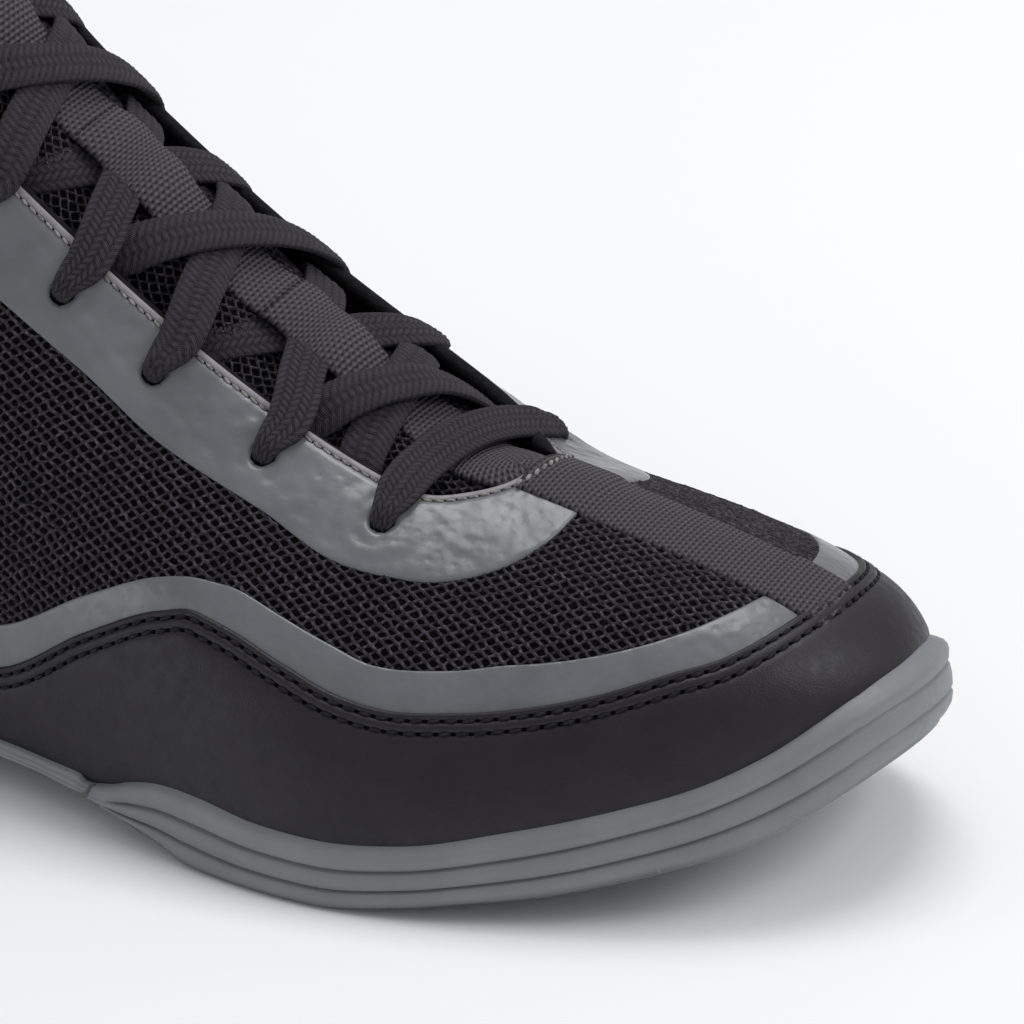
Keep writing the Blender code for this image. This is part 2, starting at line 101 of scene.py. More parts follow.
EYESTAY_LOW = (
    (0.0, 0.912), (0.0194, 0.901), (0.0357, 0.877), (0.0551, 0.844), (0.0858, 0.810), (0.1079, 0.787),
    (0.1360, 0.761), (0.1607, 0.784), (0.2021, 0.773), (0.2374, 0.790), (0.2658, 0.789), (0.2943, 0.77),
    (0.329, 0.71), (0.3559, 0.68), (0.3764, 0.745), (0.39, 0.86), (0.40, 1.0))
EYESTAY_END = 0.40


# ---------------------------------------------------------------- curves through tables
def line_through(knots, values):
    """Monotone cubic through a short table."""
    knots = np.asarray(knots, float)
    values = np.asarray(values, float)
    step = np.diff(knots)
    rise = np.diff(values) / step
    slope = np.concatenate([rise[:1], np.zeros(len(knots) - 2), rise[-1:]])
    for i in range(1, len(knots) - 1):
        if rise[i - 1] * rise[i] > 0:
            a, b = 2 * step[i] + step[i - 1], step[i] + 2 * step[i - 1]
            slope[i] = (a + b) / (a / rise[i - 1] + b / rise[i])

    def at(x):
        x = np.clip(np.asarray(x, float), knots[0], knots[-1])
        i = np.clip(np.searchsorted(knots, x, side="right") - 1, 0, len(knots) - 2)
        s = (x - knots[i]) / step[i]
        return (values[i] * (1 + 2 * s) * (1 - s) ** 2 + slope[i] * step[i] * s * (1 - s) ** 2
                + values[i + 1] * s * s * (3 - 2 * s) + slope[i + 1] * step[i] * s * s * (s - 1))
    return at


def loop_through(knots, values, period):
    """Smooth closed cubic through a ring of rows."""
    count = len(knots)
    step = np.append(np.diff(knots), knots[0] + period - knots[-1])
    left = np.zeros((count, count))
    right = np.zeros_like(values)
    for i in range(count):
        j, a, b = (i + 1) % count, step[i - 1], step[i]
        left[i, i - 1] += a
        left[i, i] += 2 * (a + b)
        left[i, j] += b
        right[i] = 6 * ((values[j] - values[i]) / b - (values[i] - values[i - 1]) / a)
    bend = np.linalg.solve(left, right)

    def at(u):
        u = (np.asarray(u, float) - knots[0]) % period + knots[0]
        i = np.clip(np.searchsorted(knots, u, side="right") - 1, 0, count - 1)
        j = (i + 1) % count
        h = step[i][..., None]
        a = (u - knots[i])[..., None]
        b = h - a
        return ((bend[i] * b ** 3 + bend[j] * a ** 3) / (6 * h)
                + (values[i] / h - bend[i] * h / 6) * b + (values[j] / h - bend[j] * h / 6) * a)
    return at


def smooth(low, high, x):
    s = np.clip((np.asarray(x, float) - low) / (high - low), 0.0, 1.0)
    return s * s * (3 - 2 * s)


def unit(v):
    return v / np.maximum(np.linalg.norm(v, axis=-1, keepdims=True), 1e-12)


def ring_of_rows():
    """Rows in order round the foot: toe, lateral side, heel, medial side."""
    ring = [(row, -1) for row in LAST] + [(row, 1) for row in LAST[-2:0:-1]]
    values = []
    for row, side in ring:
        size = dict(zip(LAST_COLS, row))
        inner = side > 0
        values.append((size["x"], size["medial"] if inner else size["lateral"], size["edge_x"],
                       side * (size["edge_y"] + inner * size["wide"]), size["edge_z"] + inner * size["high"],
                       size["lean"], size["pull"], size["tilt"], size["reach"]))
    lateral = np.array([(row[1], row[2]) for row in LAST])
    medial = np.array([(row[1], row[3]) for row in LAST])
    leg = 0.5 * (np.hypot(*np.diff(lateral, axis=0).T) + np.hypot(*np.diff(medial, axis=0).T))
    side = np.concatenate([[0], np.cumsum(leg)])
    knots = np.concatenate([side, 2 * side[-1] - side[-2:0:-1]]) / (2 * side[-1])
    return knots, np.array(values)


tread_z, bed_z, rim_z = (line_through([row[0] for row in SOLE], [row[i] for row in SOLE])
                         for i in (1, 2, 3))
KNOTS, VALUES = ring_of_rows()
last_at = loop_through(KNOTS, VALUES, 1.0)
ROW_AT = {row[0]: KNOTS[i] for i, row in enumerate(LAST)}


def both_sides(table):
    """Height of a panel's edge at any station, the table being one side's."""
    one = line_through([row[0] for row in table], [row[1] for row in table])

    def at(u):
        u = np.asarray(u, float) % 1.0
        return one(np.minimum(u, 1 - u))
    return at


mudguard_top, film_top, eyestay_low = both_sides(MUDGUARD_TOP), both_sides(FILM_TOP), both_sides(EYESTAY_LOW)


# ---------------------------------------------------------------- the upper's own function
def ribs(u):
    u = np.atleast_1d(np.asarray(u, float))
    v = last_at(u)
    run = last_at(u + 1e-4)[:, :2] - last_at(u - 1e-4)[:, :2]
    run /= np.linalg.norm(run, axis=1)[:, None]
    out = np.stack([-run[:, 1], run[:, 0], np.zeros(len(u))], 1)
    up = np.array([0.0, 0.0, 1.0])
    foot = np.stack([v[:, 0], v[:, 1], bed_z(v[:, 0]) + GAP], 1)
    edge = v[:, 2:5]
    lean, tilt = np.radians(v[:, 5:6]), np.radians(v[:, 7:8])
    low = foot + v[:, 6:7] * (np.cos(lean) * up + np.sin(lean) * out)
    high = edge + v[:, 8:9] * (np.cos(tilt) * out - np.sin(tilt) * up)
    return foot, low, high, edge, out


def upper_at(u, t):
    """Outer face of the upper at matching arrays of station u and height t."""
    foot, low, high, edge, _ = ribs(u)
    t = np.broadcast_to(np.asarray(t, float), (len(foot),))[:, None]
    return (foot * (1 - t) ** 3 + 3 * low * t * (1 - t) ** 2
            + 3 * high * t * t * (1 - t) + edge * t ** 3)


def normal_at(u, t):
    u = np.atleast_1d(np.asarray(u, float))
    t = np.broadcast_to(np.asarray(t, float), u.shape)
    along = upper_at(u + 5e-4, t) - upper_at(u - 5e-4, t)
    high = upper_at(u, t) - upper_at(u, t - 1e-3)
    return unit(np.cross(high, along))


def height_to_share(u, z):
    """Height t on each rib where the upper reaches z, near its foot."""
    low, high = np.zeros(len(u)), np.full(len(u), 0.6)
    for _ in range(40):
        mid = 0.5 * (low + high)
        below = upper_at(u, mid)[:, 2] < z
        low, high = np.where(below, mid, low), np.where(below, high, mid)
    return low


def settle(u, t, goal, top=1.0):
    """Station and height of the upper's point nearest each goal."""
    for _ in range(9):
        here = upper_at(u, t)
        du = (upper_at(u + 1e-4, t) - upper_at(u - 1e-4, t)) / 2e-4
        dt = (here - upper_at(u, t - 1e-3)) / 1e-3
        miss = goal - here
        a, b, c = (du * du).sum(1), (du * dt).sum(1), (dt * dt).sum(1)
        p, q = (du * miss).sum(1), (dt * miss).sum(1)
        det = a * c - b * b
        u = u + 0.8 * np.clip((p * c - q * b) / det, -0.02, 0.02)
        t = np.minimum(t + 0.8 * np.clip((q * a - p * b) / det, -0.1, 0.1), top)
    return u, t


EDGE_U = np.linspace(0.0, ROW_AT["point"], 3000)
EDGE_RUN = np.concatenate([[0], np.cumsum(np.linalg.norm(np.diff(ribs(EDGE_U)[3], axis=0), axis=1))])


def inset_ut(run, away, side):
    """Station and height on the upper, run along the throat's edge and away from it."""
    run = np.atleast_1d(np.asarray(run, float))
    away = np.broadcast_to(np.asarray(away, float), run.shape)
    u = np.interp(run, EDGE_RUN, EDGE_U)
    if side > 0:
        u = 1 - u
    edge = ribs(u)[3]
    along = unit(ribs(u + 2e-4)[3] - ribs(u - 2e-4)[3])
    down = upper_at(u, 0.98) - edge
    down = unit(down - (down * along).sum(1)[:, None] * along)
    return settle(u, np.ones_like(u), edge + down * away[:, None])


def inset(run, away, side):
    u, t = inset_ut(run, away, side)
    return upper_at(u, t), normal_at(u, t)


def edge_way(run, side):
    """Direction along the throat's edge, towards the collar."""
    run = np.atleast_1d(np.asarray(run, float))
    u = np.interp(run, EDGE_RUN, EDGE_U)
    way = ribs(u + 2e-4)[3] - ribs(u - 2e-4)[3]
    if side > 0:
        way = ribs(1 - u - 2e-4)[3] - ribs(1 - u + 2e-4)[3]
    return unit(way)


def arch(run_l, run_m, share, lift):
    """Point over the throat: share -1 on the lateral edge, 1 on the medial, lift above the edges."""
    (a, an), (b, bn) = inset(run_l, 0.0, -1), inset(run_m, 0.0, 1)
    a2, b2 = inset(run_l, 2.0, -1)[0], inset(run_m, 2.0, 1)[0]
    rise_a, rise_b = unit(a - a2), unit(b - b2)
    lift = np.broadcast_to(np.asarray(lift, float), (len(a),))[:, None]
    a, b = a + an * lift, b + bn * lift
    pull = ARCH_PULL * np.linalg.norm(b - a, axis=1)[:, None]
    s = 0.5 * (np.broadcast_to(np.asarray(share, float), (len(a),))[:, None] + 1)
    return (a * (1 - s) ** 3 + 3 * (a + rise_a * pull) * s * (1 - s) ** 2
            + 3 * (b + rise_b * pull) * s * s * (1 - s) + b * s ** 3)


def centre_of_footprint():
    side = np.concatenate([np.linspace(KNOTS[i], KNOTS[i + 1], 3 if i < 5 else 2, endpoint=False)
                           for i in range(len(LAST) - 1)])
    u = np.concatenate([side, [0.5], 1 - side[:0:-1]])
    foot, _, _, _, out = ribs(u)
    far = foot + out * WALL_OUT
    return 0.5 * (far.min(0) + far.max(0)) * np.array([1.0, 1.0, 0.0])


CENTRE = centre_of_footprint()


# ---------------------------------------------------------------- meshes from arrays
def put(name, points, faces, mats, pick=None, mark=None, stands_for=()):
    """One piece from points in millimetres and a list of faces; mark is a coordinate kept for the material."""
    mesh = bpy.data.meshes.new(name)
    places = (np.asarray(points, float) - CENTRE) * MM
    faces = np.asarray(faces)
    kept = np.ones(faces.shape, bool)
    kept[:, 3] = faces[:, 3] != faces[:, 2]
    corners = kept.sum(1)
    mesh.vertices.add(len(places))
    mesh.vertices.foreach_set("co", places.astype(np.float32).ravel())
    mesh.loops.add(int(corners.sum()))
    mesh.loops.foreach_set("vertex_index", faces[kept].astype(np.int32))
    mesh.polygons.add(len(faces))
    mesh.polygons.foreach_set("loop_start", np.concatenate([[0], np.cumsum(corners)[:-1]]).astype(np.int32))
    mesh.update(calc_edges=True)
    for mat in mats if isinstance(mats, (list, tuple)) else [mats]:
        mesh.materials.append(mat)
    mesh.polygons.foreach_set("use_smooth", np.ones(len(mesh.polygons), bool))
    if pick is not None:
        mesh.polygons.foreach_set("material_index", np.asarray(pick, np.int32))
    if mark is not None:
        layer = mesh.attributes.new("lay", "FLOAT_VECTOR", "POINT")
        flat = np.zeros((len(places), 3), np.float32)
        flat[:, :mark.shape[1]] = mark
        layer.data.foreach_set("vector", flat.ravel())
    mesh.update()
    obj = bpy.data.objects.new(name, mesh)
    bpy.context.scene.collection.objects.link(obj)
    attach(obj, "root")
    if stands_for:
        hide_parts(*stands_for)
    return obj


def quads(rows, cols, loop_rows=False, loop_cols=False, first=0, flip=False):
    """Faces of a net of rows by cols points, in order from first."""
    r = np.arange(rows if loop_rows else rows - 1)
    c = np.arange(cols if loop_cols else cols - 1)
    r, c = np.meshgrid(r, c, indexing="ij")
    r2, c2 = (r + 1) % rows, (c + 1) % cols
    ring = [r * cols + c, r * cols + c2, r2 * cols + c2, r2 * cols + c]
    if flip:
        ring = ring[::-1]
    return np.stack(ring, -1).reshape(-1, 4) + first


def outward(points, faces):
    """Faces of a closed piece, turned to face out."""
    p = np.asarray(points)[np.asarray(faces)]
    p = p - p.mean((0, 1))
    volume = (np.cross(p[:, 0], p[:, 1]) * p[:, 2]).sum() + (np.cross(p[:, 0], p[:, 2]) * p[:, 3]).sum()
    if volume > 0:
        return faces
    turned, three = faces[:, [0, 3, 2, 1]], faces[:, 2] == faces[:, 3]
    turned[three] = faces[three][:, [0, 2, 1, 1]]
    return turned


def normals_of(grid, loop_cols=False):
    """Unit normals of a net of points, rows by cols."""
    if loop_cols:
        across = np.roll(grid, -1, 1) - np.roll(grid, 1, 1)
    else:
        across = np.gradient(grid, axis=1)
    return unit(np.cross(np.gradient(grid, axis=0), across))


# ---------------------------------------------------------------- the worn skin
# soft troughs and ridges: points of the line as station and height, half width, depth
CREASES = (
    (((0.2469, 0.385), (0.2334, 0.501), (0.2217, 0.606), (0.2039, 0.766)), 3.0, 0.9),
    (((0.2560, 0.45), (0.2440, 0.56), (0.2320, 0.67)), 3.6, -0.5),
    (((0.1797, 0.646), (0.1738, 0.615), (0.1684, 0.583)), 2.6, 0.7),
    (((0.1880, 0.70), (0.1790, 0.66), (0.1700, 0.66), (0.1600, 0.72)), 4.0, -0.4),
    (((0.1330, 0.70), (0.1230, 0.66), (0.1120, 0.70)), 4.5, 0.5),
    (((0.3050, 0.60), (0.3200, 0.50), (0.3500, 0.44), (0.3800, 0.42)), 5.0, 1.0),
    (((0.3000, 0.48), (0.3250, 0.40), (0.3600, 0.35)), 5.5, -0.8),
    (((0.3400, 0.62), (0.3700, 0.56), (0.4100, 0.54)), 6.0, 0.8),
    (((0.4350, 0.45), (0.4700, 0.42), (0.5000, 0.43)), 7.0, 0.9),
)


def crease_lines():
    lines = []
    for points, wide, deep in CREASES:
        for mirror in (False, True):
            u = np.array([p[0] for p in points])
            t = np.array([p[1] for p in points])
            fine = np.linspace(0, 1, 30)
            at = np.linspace(0, 1, len(points))
            u, t = line_through(at, u)(fine), line_through(at, t)(fine)
            lines.append((upper_at(1 - u if mirror else u, t), wide, deep * (0.8 if mirror else 1.0),
                          np.sin(np.pi * np.clip(fine, 0.03, 0.97)) ** 0.6))
    return lines


CREASE_LINES = crease_lines()


def worn(points):
    """How far the worn skin stands off the last at each point."""
    off = np.zeros(len(points))
    for line, wide, deep, fade in CREASE_LINES:
        near = np.flatnonzero(((points > line.min(0) - 3 * wide) & (points < line.max(0) + 3 * wide)).all(1))
        if len(near) == 0:
            continue
        gap = np.linalg.norm(points[near, None, :] - line[None], axis=2)
        k = gap.argmin(1)
        off[near] -= deep * fade[k] * np.exp(-(gap[np.arange(len(near)), k] / wide) ** 2)
    return off


def skin(u, t, h=0.0):
    """Point of the worn upper at height h over its outer face."""
    p = upper_at(u, t)
    n = normal_at(u, np.maximum(t, 0.002))
    return p + n * (worn(p) + h)[:, None]


def beside(u, t, away, closed, top=1.0):
    """The line on the upper that runs beside (u, t) at a distance, towards the sole if positive."""
    p = upper_at(u, t)
    if closed:
        way = np.roll(p, -1, 0) - np.roll(p, 1, 0)
    else:
        way = np.gradient(p, axis=0)
    side = unit(np.cross(normal_at(u, np.minimum(t, 0.999)), unit(way)))
    return settle(u.copy(), t.copy(), p + side * np.broadcast_to(away, t.shape)[:, None], top)


def panel(name, top, low, top_rows, low_rows, body, closed, mats, pick_row=None, extra=None, sunk=-0.45,
          stands_for=(), fit=None):
    """A closed panel on the upper between two lines; rows of (distance from the edge, height)."""
    rows = [beside(*top, d, closed) + (h,) for d, h in top_rows]
    ends = [beside(*low, -d, closed) + (h,) for d, h in low_rows]
    (u1, t1, h1), (u2, t2, h2) = rows[-1], ends[-1]
    for k in range(1, len(body) + 1):
        s = k / (len(body) + 1)
        rows.append((u1 + (u2 - u1) * s, t1 + (t2 - t1) * s, body[k - 1]))
    rows += ends[::-1]
    count, cols = len(rows), len(top[0])
    face = []
    for i, (u, t, h) in enumerate(rows):
        p = upper_at(u, t)
        off = worn(p) + h
        if extra is not None:
            off = off + extra(p, u, t, i, count)
        face.append(p + normal_at(u, np.clip(t, 0.002, 0.9995)) * off[:, None])
    back = [skin(u, t, np.minimum(sunk + 0.48 * (t > 0.9999), h - 0.1)) for u, t, h in rows]
    if fit is not None:
        face, back = fit(face, back)
    points = np.concatenate(face + back)
    n = count * cols
    faces = [quads(count, cols, loop_cols=closed), quads(count, cols, loop_cols=closed, first=n, flip=True)]
    picks = [np.repeat([0 if pick_row is None else pick_row(i) for i in range(count - 1)], cols if closed else cols - 1),
             np.zeros((count - 1) * (cols if closed else cols - 1), int)]
    c = np.arange(cols if closed else cols - 1)
    d = (c + 1) % cols
    for row, turn in ((0, False), (count - 1, True)):
        ring = [row * cols + c, n + row * cols + c, n + row * cols + d, row * cols + d]
        faces.append(np.stack(ring[::-1] if turn else ring, -1))
        picks.append(np.full(len(c), 0 if pick_row is None else pick_row(min(row, count - 2))))
    if not closed:
        r = np.arange(count - 1)
        for col, turn in ((0, True), (cols - 1, False)):
            ring = [r * cols + col, n + r * cols + col, n + (r + 1) * cols + col, (r + 1) * cols + col]
            faces.append(np.stack(ring[::-1] if turn else ring, -1))
            picks.append(np.zeros(len(r), int))
    return put(name, points, np.concatenate(faces), mats, pick=np.concatenate(picks), stands_for=stands_for)


def stitches(name, centres, ways, ups, long, wide, high, mat, turn=0.0):
    """Many short threads as one piece."""
    rings, sides = 5, 6
    s = np.linspace(-1, 1, rings)
    a = np.arange(sides) * 2 * np.pi / sides
    fat = np.sqrt(np.maximum(1 - np.abs(s) ** 2.6, 0.04))
    shape = np.stack([np.repeat(s, sides) * 0.5 * long,
                      (fat[:, None] * np.cos(a)[None]).ravel() * 0.5 * wide,
                      (fat[:, None] * np.sin(a)[None]).ravel() * high], 1)
    ways = unit(ways)
    across = unit(np.cross(ups, ways))
    ups = np.cross(ways, across)
    if turn:
        ways, across = ways * math.cos(turn) + across * math.sin(turn), across * math.cos(turn) - ways * math.sin(turn)
    points = (centres[:, None] + shape[None, :, :1] * ways[:, None] + shape[None, :, 1:2] * across[:, None]
              + shape[None, :, 2:] * ups[:, None])
    one = quads(rings, sides, loop_cols=True)
    caps = []
    for row, back in ((0, True), (rings - 1, False)):
        ring = row * sides + np.arange(sides)
        for k in (0, 2):
            cap = [ring[0], ring[k + 1], ring[k + 2], ring[(k + 3) % sides]]
            caps.append(cap[::-1] if back else cap)
    one = np.concatenate([one, np.array(caps)])
    faces = (one[None] + (np.arange(len(centres)) * rings * sides)[:, None, None]).reshape(-1, 4)
    return put(name, points.reshape(-1, 3), faces, mat)


def spaced(points, pitch):
    """Evenly spaced places along a line, with the direction there and the index they fall at."""
    gone = np.concatenate([[0], np.cumsum(np.linalg.norm(np.diff(points, axis=0), axis=1))])
    at = np.linspace(0, gone[-1], max(2, int(round(gone[-1] / pitch))) * 1 + 1)
    at = 0.5 * (at[:-1] + at[1:])
    index = np.interp(at, gone, np.arange(len(points)))
    place = np.stack([np.interp(at, gone, points[:, k]) for k in range(3)], 1)
    ahead = np.stack([np.interp(at + 0.3, gone, points[:, k]) - np.interp(at - 0.3, gone, points[:, k])
                      for k in range(3)], 1)
    return place, unit(ahead), index


# ---------------------------------------------------------------- materials
def tone(*rgb):
    return tuple(((c / 255 + 0.055) / 1.055) ** 2.4 if c > 10 else c / 255 / 12.92 for c in rgb)


def principled(name, colour, rough, sheen=0.0, coat=0.0, coat_rough=0.3, level=0.5):
    mat = bpy.data.materials.new(name)
    mat.use_nodes = True
    shader = mat.node_tree.nodes["Principled BSDF"]
    shader.inputs["Base Color"].default_value = (*colour, 1.0)
    shader.inputs["Roughness"].default_value = rough
    shader.inputs["Sheen Weight"].default_value = sheen
    shader.inputs["Sheen Roughness"].default_value = 0.5
    shader.inputs["Coat Weight"].default_value = coat
    shader.inputs["Coat Roughness"].default_value = coat_rough
    shader.inputs["Specular IOR Level"].default_value = level
    mat.diffuse_color = (*colour, 1.0)
    return mat


def node(mat, kind, inputs=None, **settings):
    made = mat.node_tree.nodes.new(kind)
    for key, value in settings.items():
        setattr(made, key, value)
    for key, value in (inputs or {}).items():
        if isinstance(value, bpy.types.NodeSocket):
            mat.node_tree.links.new(value, made.inputs[key])
        else:
            made.inputs[key].default_value = value
    return made


def to_shader(mat, socket, value):
    mat.node_tree.links.new(value, mat.node_tree.nodes["Principled BSDF"].inputs[socket])


def where(mat):
    return node(mat, "ShaderNodeTexCoord").outputs["Object"]


def laid(mat):
    return node(mat, "ShaderNodeAttribute", attribute_name="lay").outputs["Vector"]


def noise(mat, place, scale, detail=4.0, rough=0.55):
    return node(mat, "ShaderNodeTexNoise", {"Vector": place, "Scale": scale, "Detail": detail, "Roughness": rough}).outputs["Fac"]


def cells(mat, place, scale, feature="F1", output="Distance", random=1.0):
    return node(mat, "ShaderNodeTexVoronoi", {"Vector": place, "Scale": scale, "Randomness": random}, feature=feature).outputs[output]


def spread(mat, value, low, high, to_low=0.0, to_high=1.0):
    return node(mat, "ShaderNodeMapRange", {"Value": value, "From Min": low, "From Max": high,
                                            "To Min": to_low, "To Max": to_high}).outputs["Result"]


def maths(mat, kind, a, b=0.0):
    return node(mat, "ShaderNodeMath", {0: a, 1: b}, operation=kind).outputs[0]


def ramp(mat, value, stops):
    made = node(mat, "ShaderNodeValToRGB", {"Fac": value})
    line = made.color_ramp
    while len(line.elements) < len(stops):
        line.elements.new(0.5)
    for element, (at, colour) in zip(line.elements, stops):
        element.position = at
        element.color = (*colour, 1.0)
    return made.outputs["Color"]


def bump(mat, height, strength, distance, under=None):
    inputs = {"Height": height, "Strength": strength, "Distance": distance}
    if under is not None:
        inputs["Normal"] = under
    return node(mat, "ShaderNodeBump", inputs).outputs["Normal"]


def make_cloth():
    """Dark backing under the net, with its own fine knit."""
    mat = principled("cloth_backing", tone(10, 9, 11), 0.95, level=0.12)
    place = where(mat)
    fuzz = noise(mat, place, 1900.0, 3.0, 0.7)
    to_shader(mat, "Base Color", ramp(mat, fuzz, ((0.44, tone(5, 4, 6)), (0.60, tone(13, 12, 15)), (0.72, tone(34, 32, 37)), (0.80, tone(58, 56, 62)))))
    to_shader(mat, "Normal", bump(mat, cells(mat, place, 1500.0), 0.9, 0.0005))
    return mat


def make_net():
    """Twisted strands of the net."""
    mat = principled("net_strand", tone(52, 48, 53), 0.72, level=0.2)
    place = where(mat)
    # random lighter and darker flecks along the strands: partly the yarn's own tone, partly painted highlights of its
    # twist
    to_shader(mat, "Base Color", ramp(mat, noise(mat, place, 1500.0, 3.0), ((0.32, tone(24, 22, 26)), (0.52, tone(50, 46, 52)), (0.72, tone(88, 84, 92)))))
    to_shader(mat, "Normal", bump(mat, noise(mat, place, 4200.0, 2.0), 0.5, 0.0002))
    return mat


def make_film():
    """Satin film over cloth: faint dimples of what lies under it."""
    mat = principled("film_grey", tone(102, 104, 109), 0.30, level=0.55)
    place = where(mat)
    # lighter and darker clouds in the film's colour: painted shade of its wrinkles
    wrinkle_shade_cloud = noise(mat, place, 60.0, 3.0)
    to_shader(mat, "Base Color", ramp(mat, wrinkle_shade_cloud, ((0.35, tone(96, 98, 103)), (0.65, tone(109, 111, 116)))))
    to_shader(mat, "Roughness", spread(mat, noise(mat, place, 180.0, 3.0), 0.3, 0.7, 0.27, 0.38))
    dimples = bump(mat, cells(mat, place, 520.0, "SMOOTH_F1"), 0.20, 0.0008)
    to_shader(mat, "Normal", bump(mat, noise(mat, place, 900.0, 3.0), 0.10, 0.0003, dimples))
    return mat


def make_film_edge():
    mat = principled("film_cut_edge", tone(136, 132, 135), 0.5)
    place = where(mat)
    to_shader(mat, "Base Color", ramp(mat, noise(mat, place, 500.0), ((0.35, tone(126, 122, 126)), (0.65, tone(142, 139, 142)))))
    return mat


def make_leather():
    """Fine-grained black leather."""
    mat = principled("leather_black", tone(26, 24, 26), 0.46, level=0.36)
    place = where(mat)
    to_shader(mat, "Base Color", ramp(mat, noise(mat, place, 130.0, 4.0), ((0.35, tone(24, 19, 24)), (0.65, tone(30, 25, 30)))))
    to_shader(mat, "Roughness", spread(mat, noise(mat, place, 420.0, 3.0), 0.3, 0.7, 0.40, 0.54))
    grain = bump(mat, cells(mat, place, 1900.0, "DISTANCE_TO_EDGE"), 0.20, 0.00030)
    to_shader(mat, "Normal", bump(mat, noise(mat, place, 420.0, 5.0, 0.6), 0.14, 0.0006, grain))
    return mat


def make_thread(name, dark, light):
    mat = principled(name, light, 0.7, level=0.25)
    place = where(mat)
    to_shader(mat, "Base Color", ramp(mat, noise(mat, place, 1500.0, 2.0), ((0.35, dark), (0.62, light))))
    to_shader(mat, "Normal", bump(mat, noise(mat, place, 5000.0, 2.0), 0.4, 0.0001))
    return mat


def make_webbing():
    """Woven tape: fine ribs across it, broken into short picks."""
    mat = principled("webbing_charcoal", tone(68, 65, 69), 0.75, level=0.25)
    lay = node(mat, "ShaderNodeSeparateXYZ", {"Vector": laid(mat)})
    rib = maths(mat, "SINE", maths(mat, "MULTIPLY", lay.outputs[0], 2 * math.pi / 0.84))
    row = maths(mat, "FLOOR", maths(mat, "DIVIDE", lay.outputs[0], 0.84))
    pick = maths(mat, "SINE", maths(mat, "ADD", maths(mat, "MULTIPLY", lay.outputs[1], 2 * math.pi / 1.30),
                                    maths(mat, "MULTIPLY", row, math.pi)))
    weave = maths(mat, "ADD", maths(mat, "MULTIPLY", rib, 0.58), maths(mat, "MULTIPLY", pick, 0.42))
    # colour falls to near black where the weave is low: painted shade in the grooves between ribs and picks
    painted_groove_shade = ramp(mat, spread(mat, weave, -1.0, 1.0), ((0.0, tone(16, 15, 17)), (0.36, tone(62, 58, 63)), (1.0, tone(92, 88, 93))))
    to_shader(mat, "Base Color", painted_groove_shade)
    to_shader(mat, "Normal", bump(mat, weave, 0.7, 0.00030))
    return mat


def make_lace_yarn():
    """Plaited yarn: painted shade between the plaits, fine filaments along each."""
    mat = principled("lace_charcoal_yarn", tone(50, 47, 52), 0.85, level=0.15, sheen=0.06)
    place = where(mat)
    lay = node(mat, "ShaderNodeSeparateXYZ", {"Vector": laid(mat)})
    rough = noise(mat, place, 1600.0, 3.0)
    height = maths(mat, "ADD", lay.outputs[0], maths(mat, "MULTIPLY", rough, 0.35))
    # low parts of the plait go near black: painted shade between the plaits
    to_shader(mat, "Base Color", ramp(mat, height, ((0.12, tone(10, 9, 10)), (0.42, tone(36, 33, 37)), (0.80, tone(52, 49, 54)), (1.0, tone(62, 58, 64)))))
    lines = maths(mat, "SINE", maths(mat, "MULTIPLY", lay.outputs[1], 2 * math.pi))
    filament = bump(mat, lines, 0.5, 0.00016)
    to_shader(mat, "Normal", bump(mat, noise(mat, place, 3200.0, 3.0), 0.5, 0.0002, filament))
    return mat


def make_rubber():
    mat = principled("rubber_moulded", tone(124, 127, 130), 0.5, level=0.4)
    place = where(mat)
    to_shader(mat, "Base Color", ramp(mat, noise(mat, place, 90.0, 4.0), ((0.3, tone(119, 122, 125)), (0.7, tone(127, 130, 133)))))
    to_shader(mat, "Roughness", spread(mat, noise(mat, place, 600.0, 3.0), 0.3, 0.7, 0.44, 0.58))
    to_shader(mat, "Normal", bump(mat, noise(mat, place, 1600.0, 3.0), 0.12, 0.0002))
    return mat


def make_plain_cloth(name, dark, light, scale, rough=0.9):
    mat = principled(name, light, rough, level=0.2)
    place = where(mat)
    to_shader(mat, "Base Color", ramp(mat, noise(mat, place, scale * 0.6, 4.0), ((0.3, dark), (0.7, light))))
    to_shader(mat, "Normal", bump(mat, cells(mat, place, scale), 0.5, 0.0003))
    return mat


CLOTH, NET, FILM, CUT, LEATHER = make_cloth(), make_net(), make_film(), make_film_edge(), make_leather()
BLACK_THREAD = make_thread("thread_black", tone(12, 11, 12), tone(30, 29, 31))
PALE_THREAD = make_thread("thread_pale", tone(104, 100, 97), tone(156, 152, 147))
DARK_THREAD = make_thread("thread_dark_grey", tone(40, 37, 39), tone(72, 68, 70))
# near-black beads put where needle holes are: painted shade inside the holes
NEEDLE_HOLE_SHADE = principled("needle_hole_shade", tone(5, 5, 6), 0.95, level=0.05)
to_shader(NEEDLE_HOLE_SHADE, "Roughness", spread(NEEDLE_HOLE_SHADE, noise(NEEDLE_HOLE_SHADE, where(NEEDLE_HOLE_SHADE), 900.0), 0.0, 1.0, 0.9, 1.0))
WEBBING, YARN, RUBBER = make_webbing(), make_lace_yarn(), make_rubber()
LINING = make_plain_cloth("lining_black", tone(11, 10, 12), tone(26, 24, 28), 1300.0)
BINDING = make_plain_cloth("binding_black", tone(18, 17, 19), tone(34, 32, 35), 1600.0, 0.8)
FOOTBED = make_plain_cloth("footbed_black", tone(18, 18, 20), tone(34, 34, 37), 900.0)


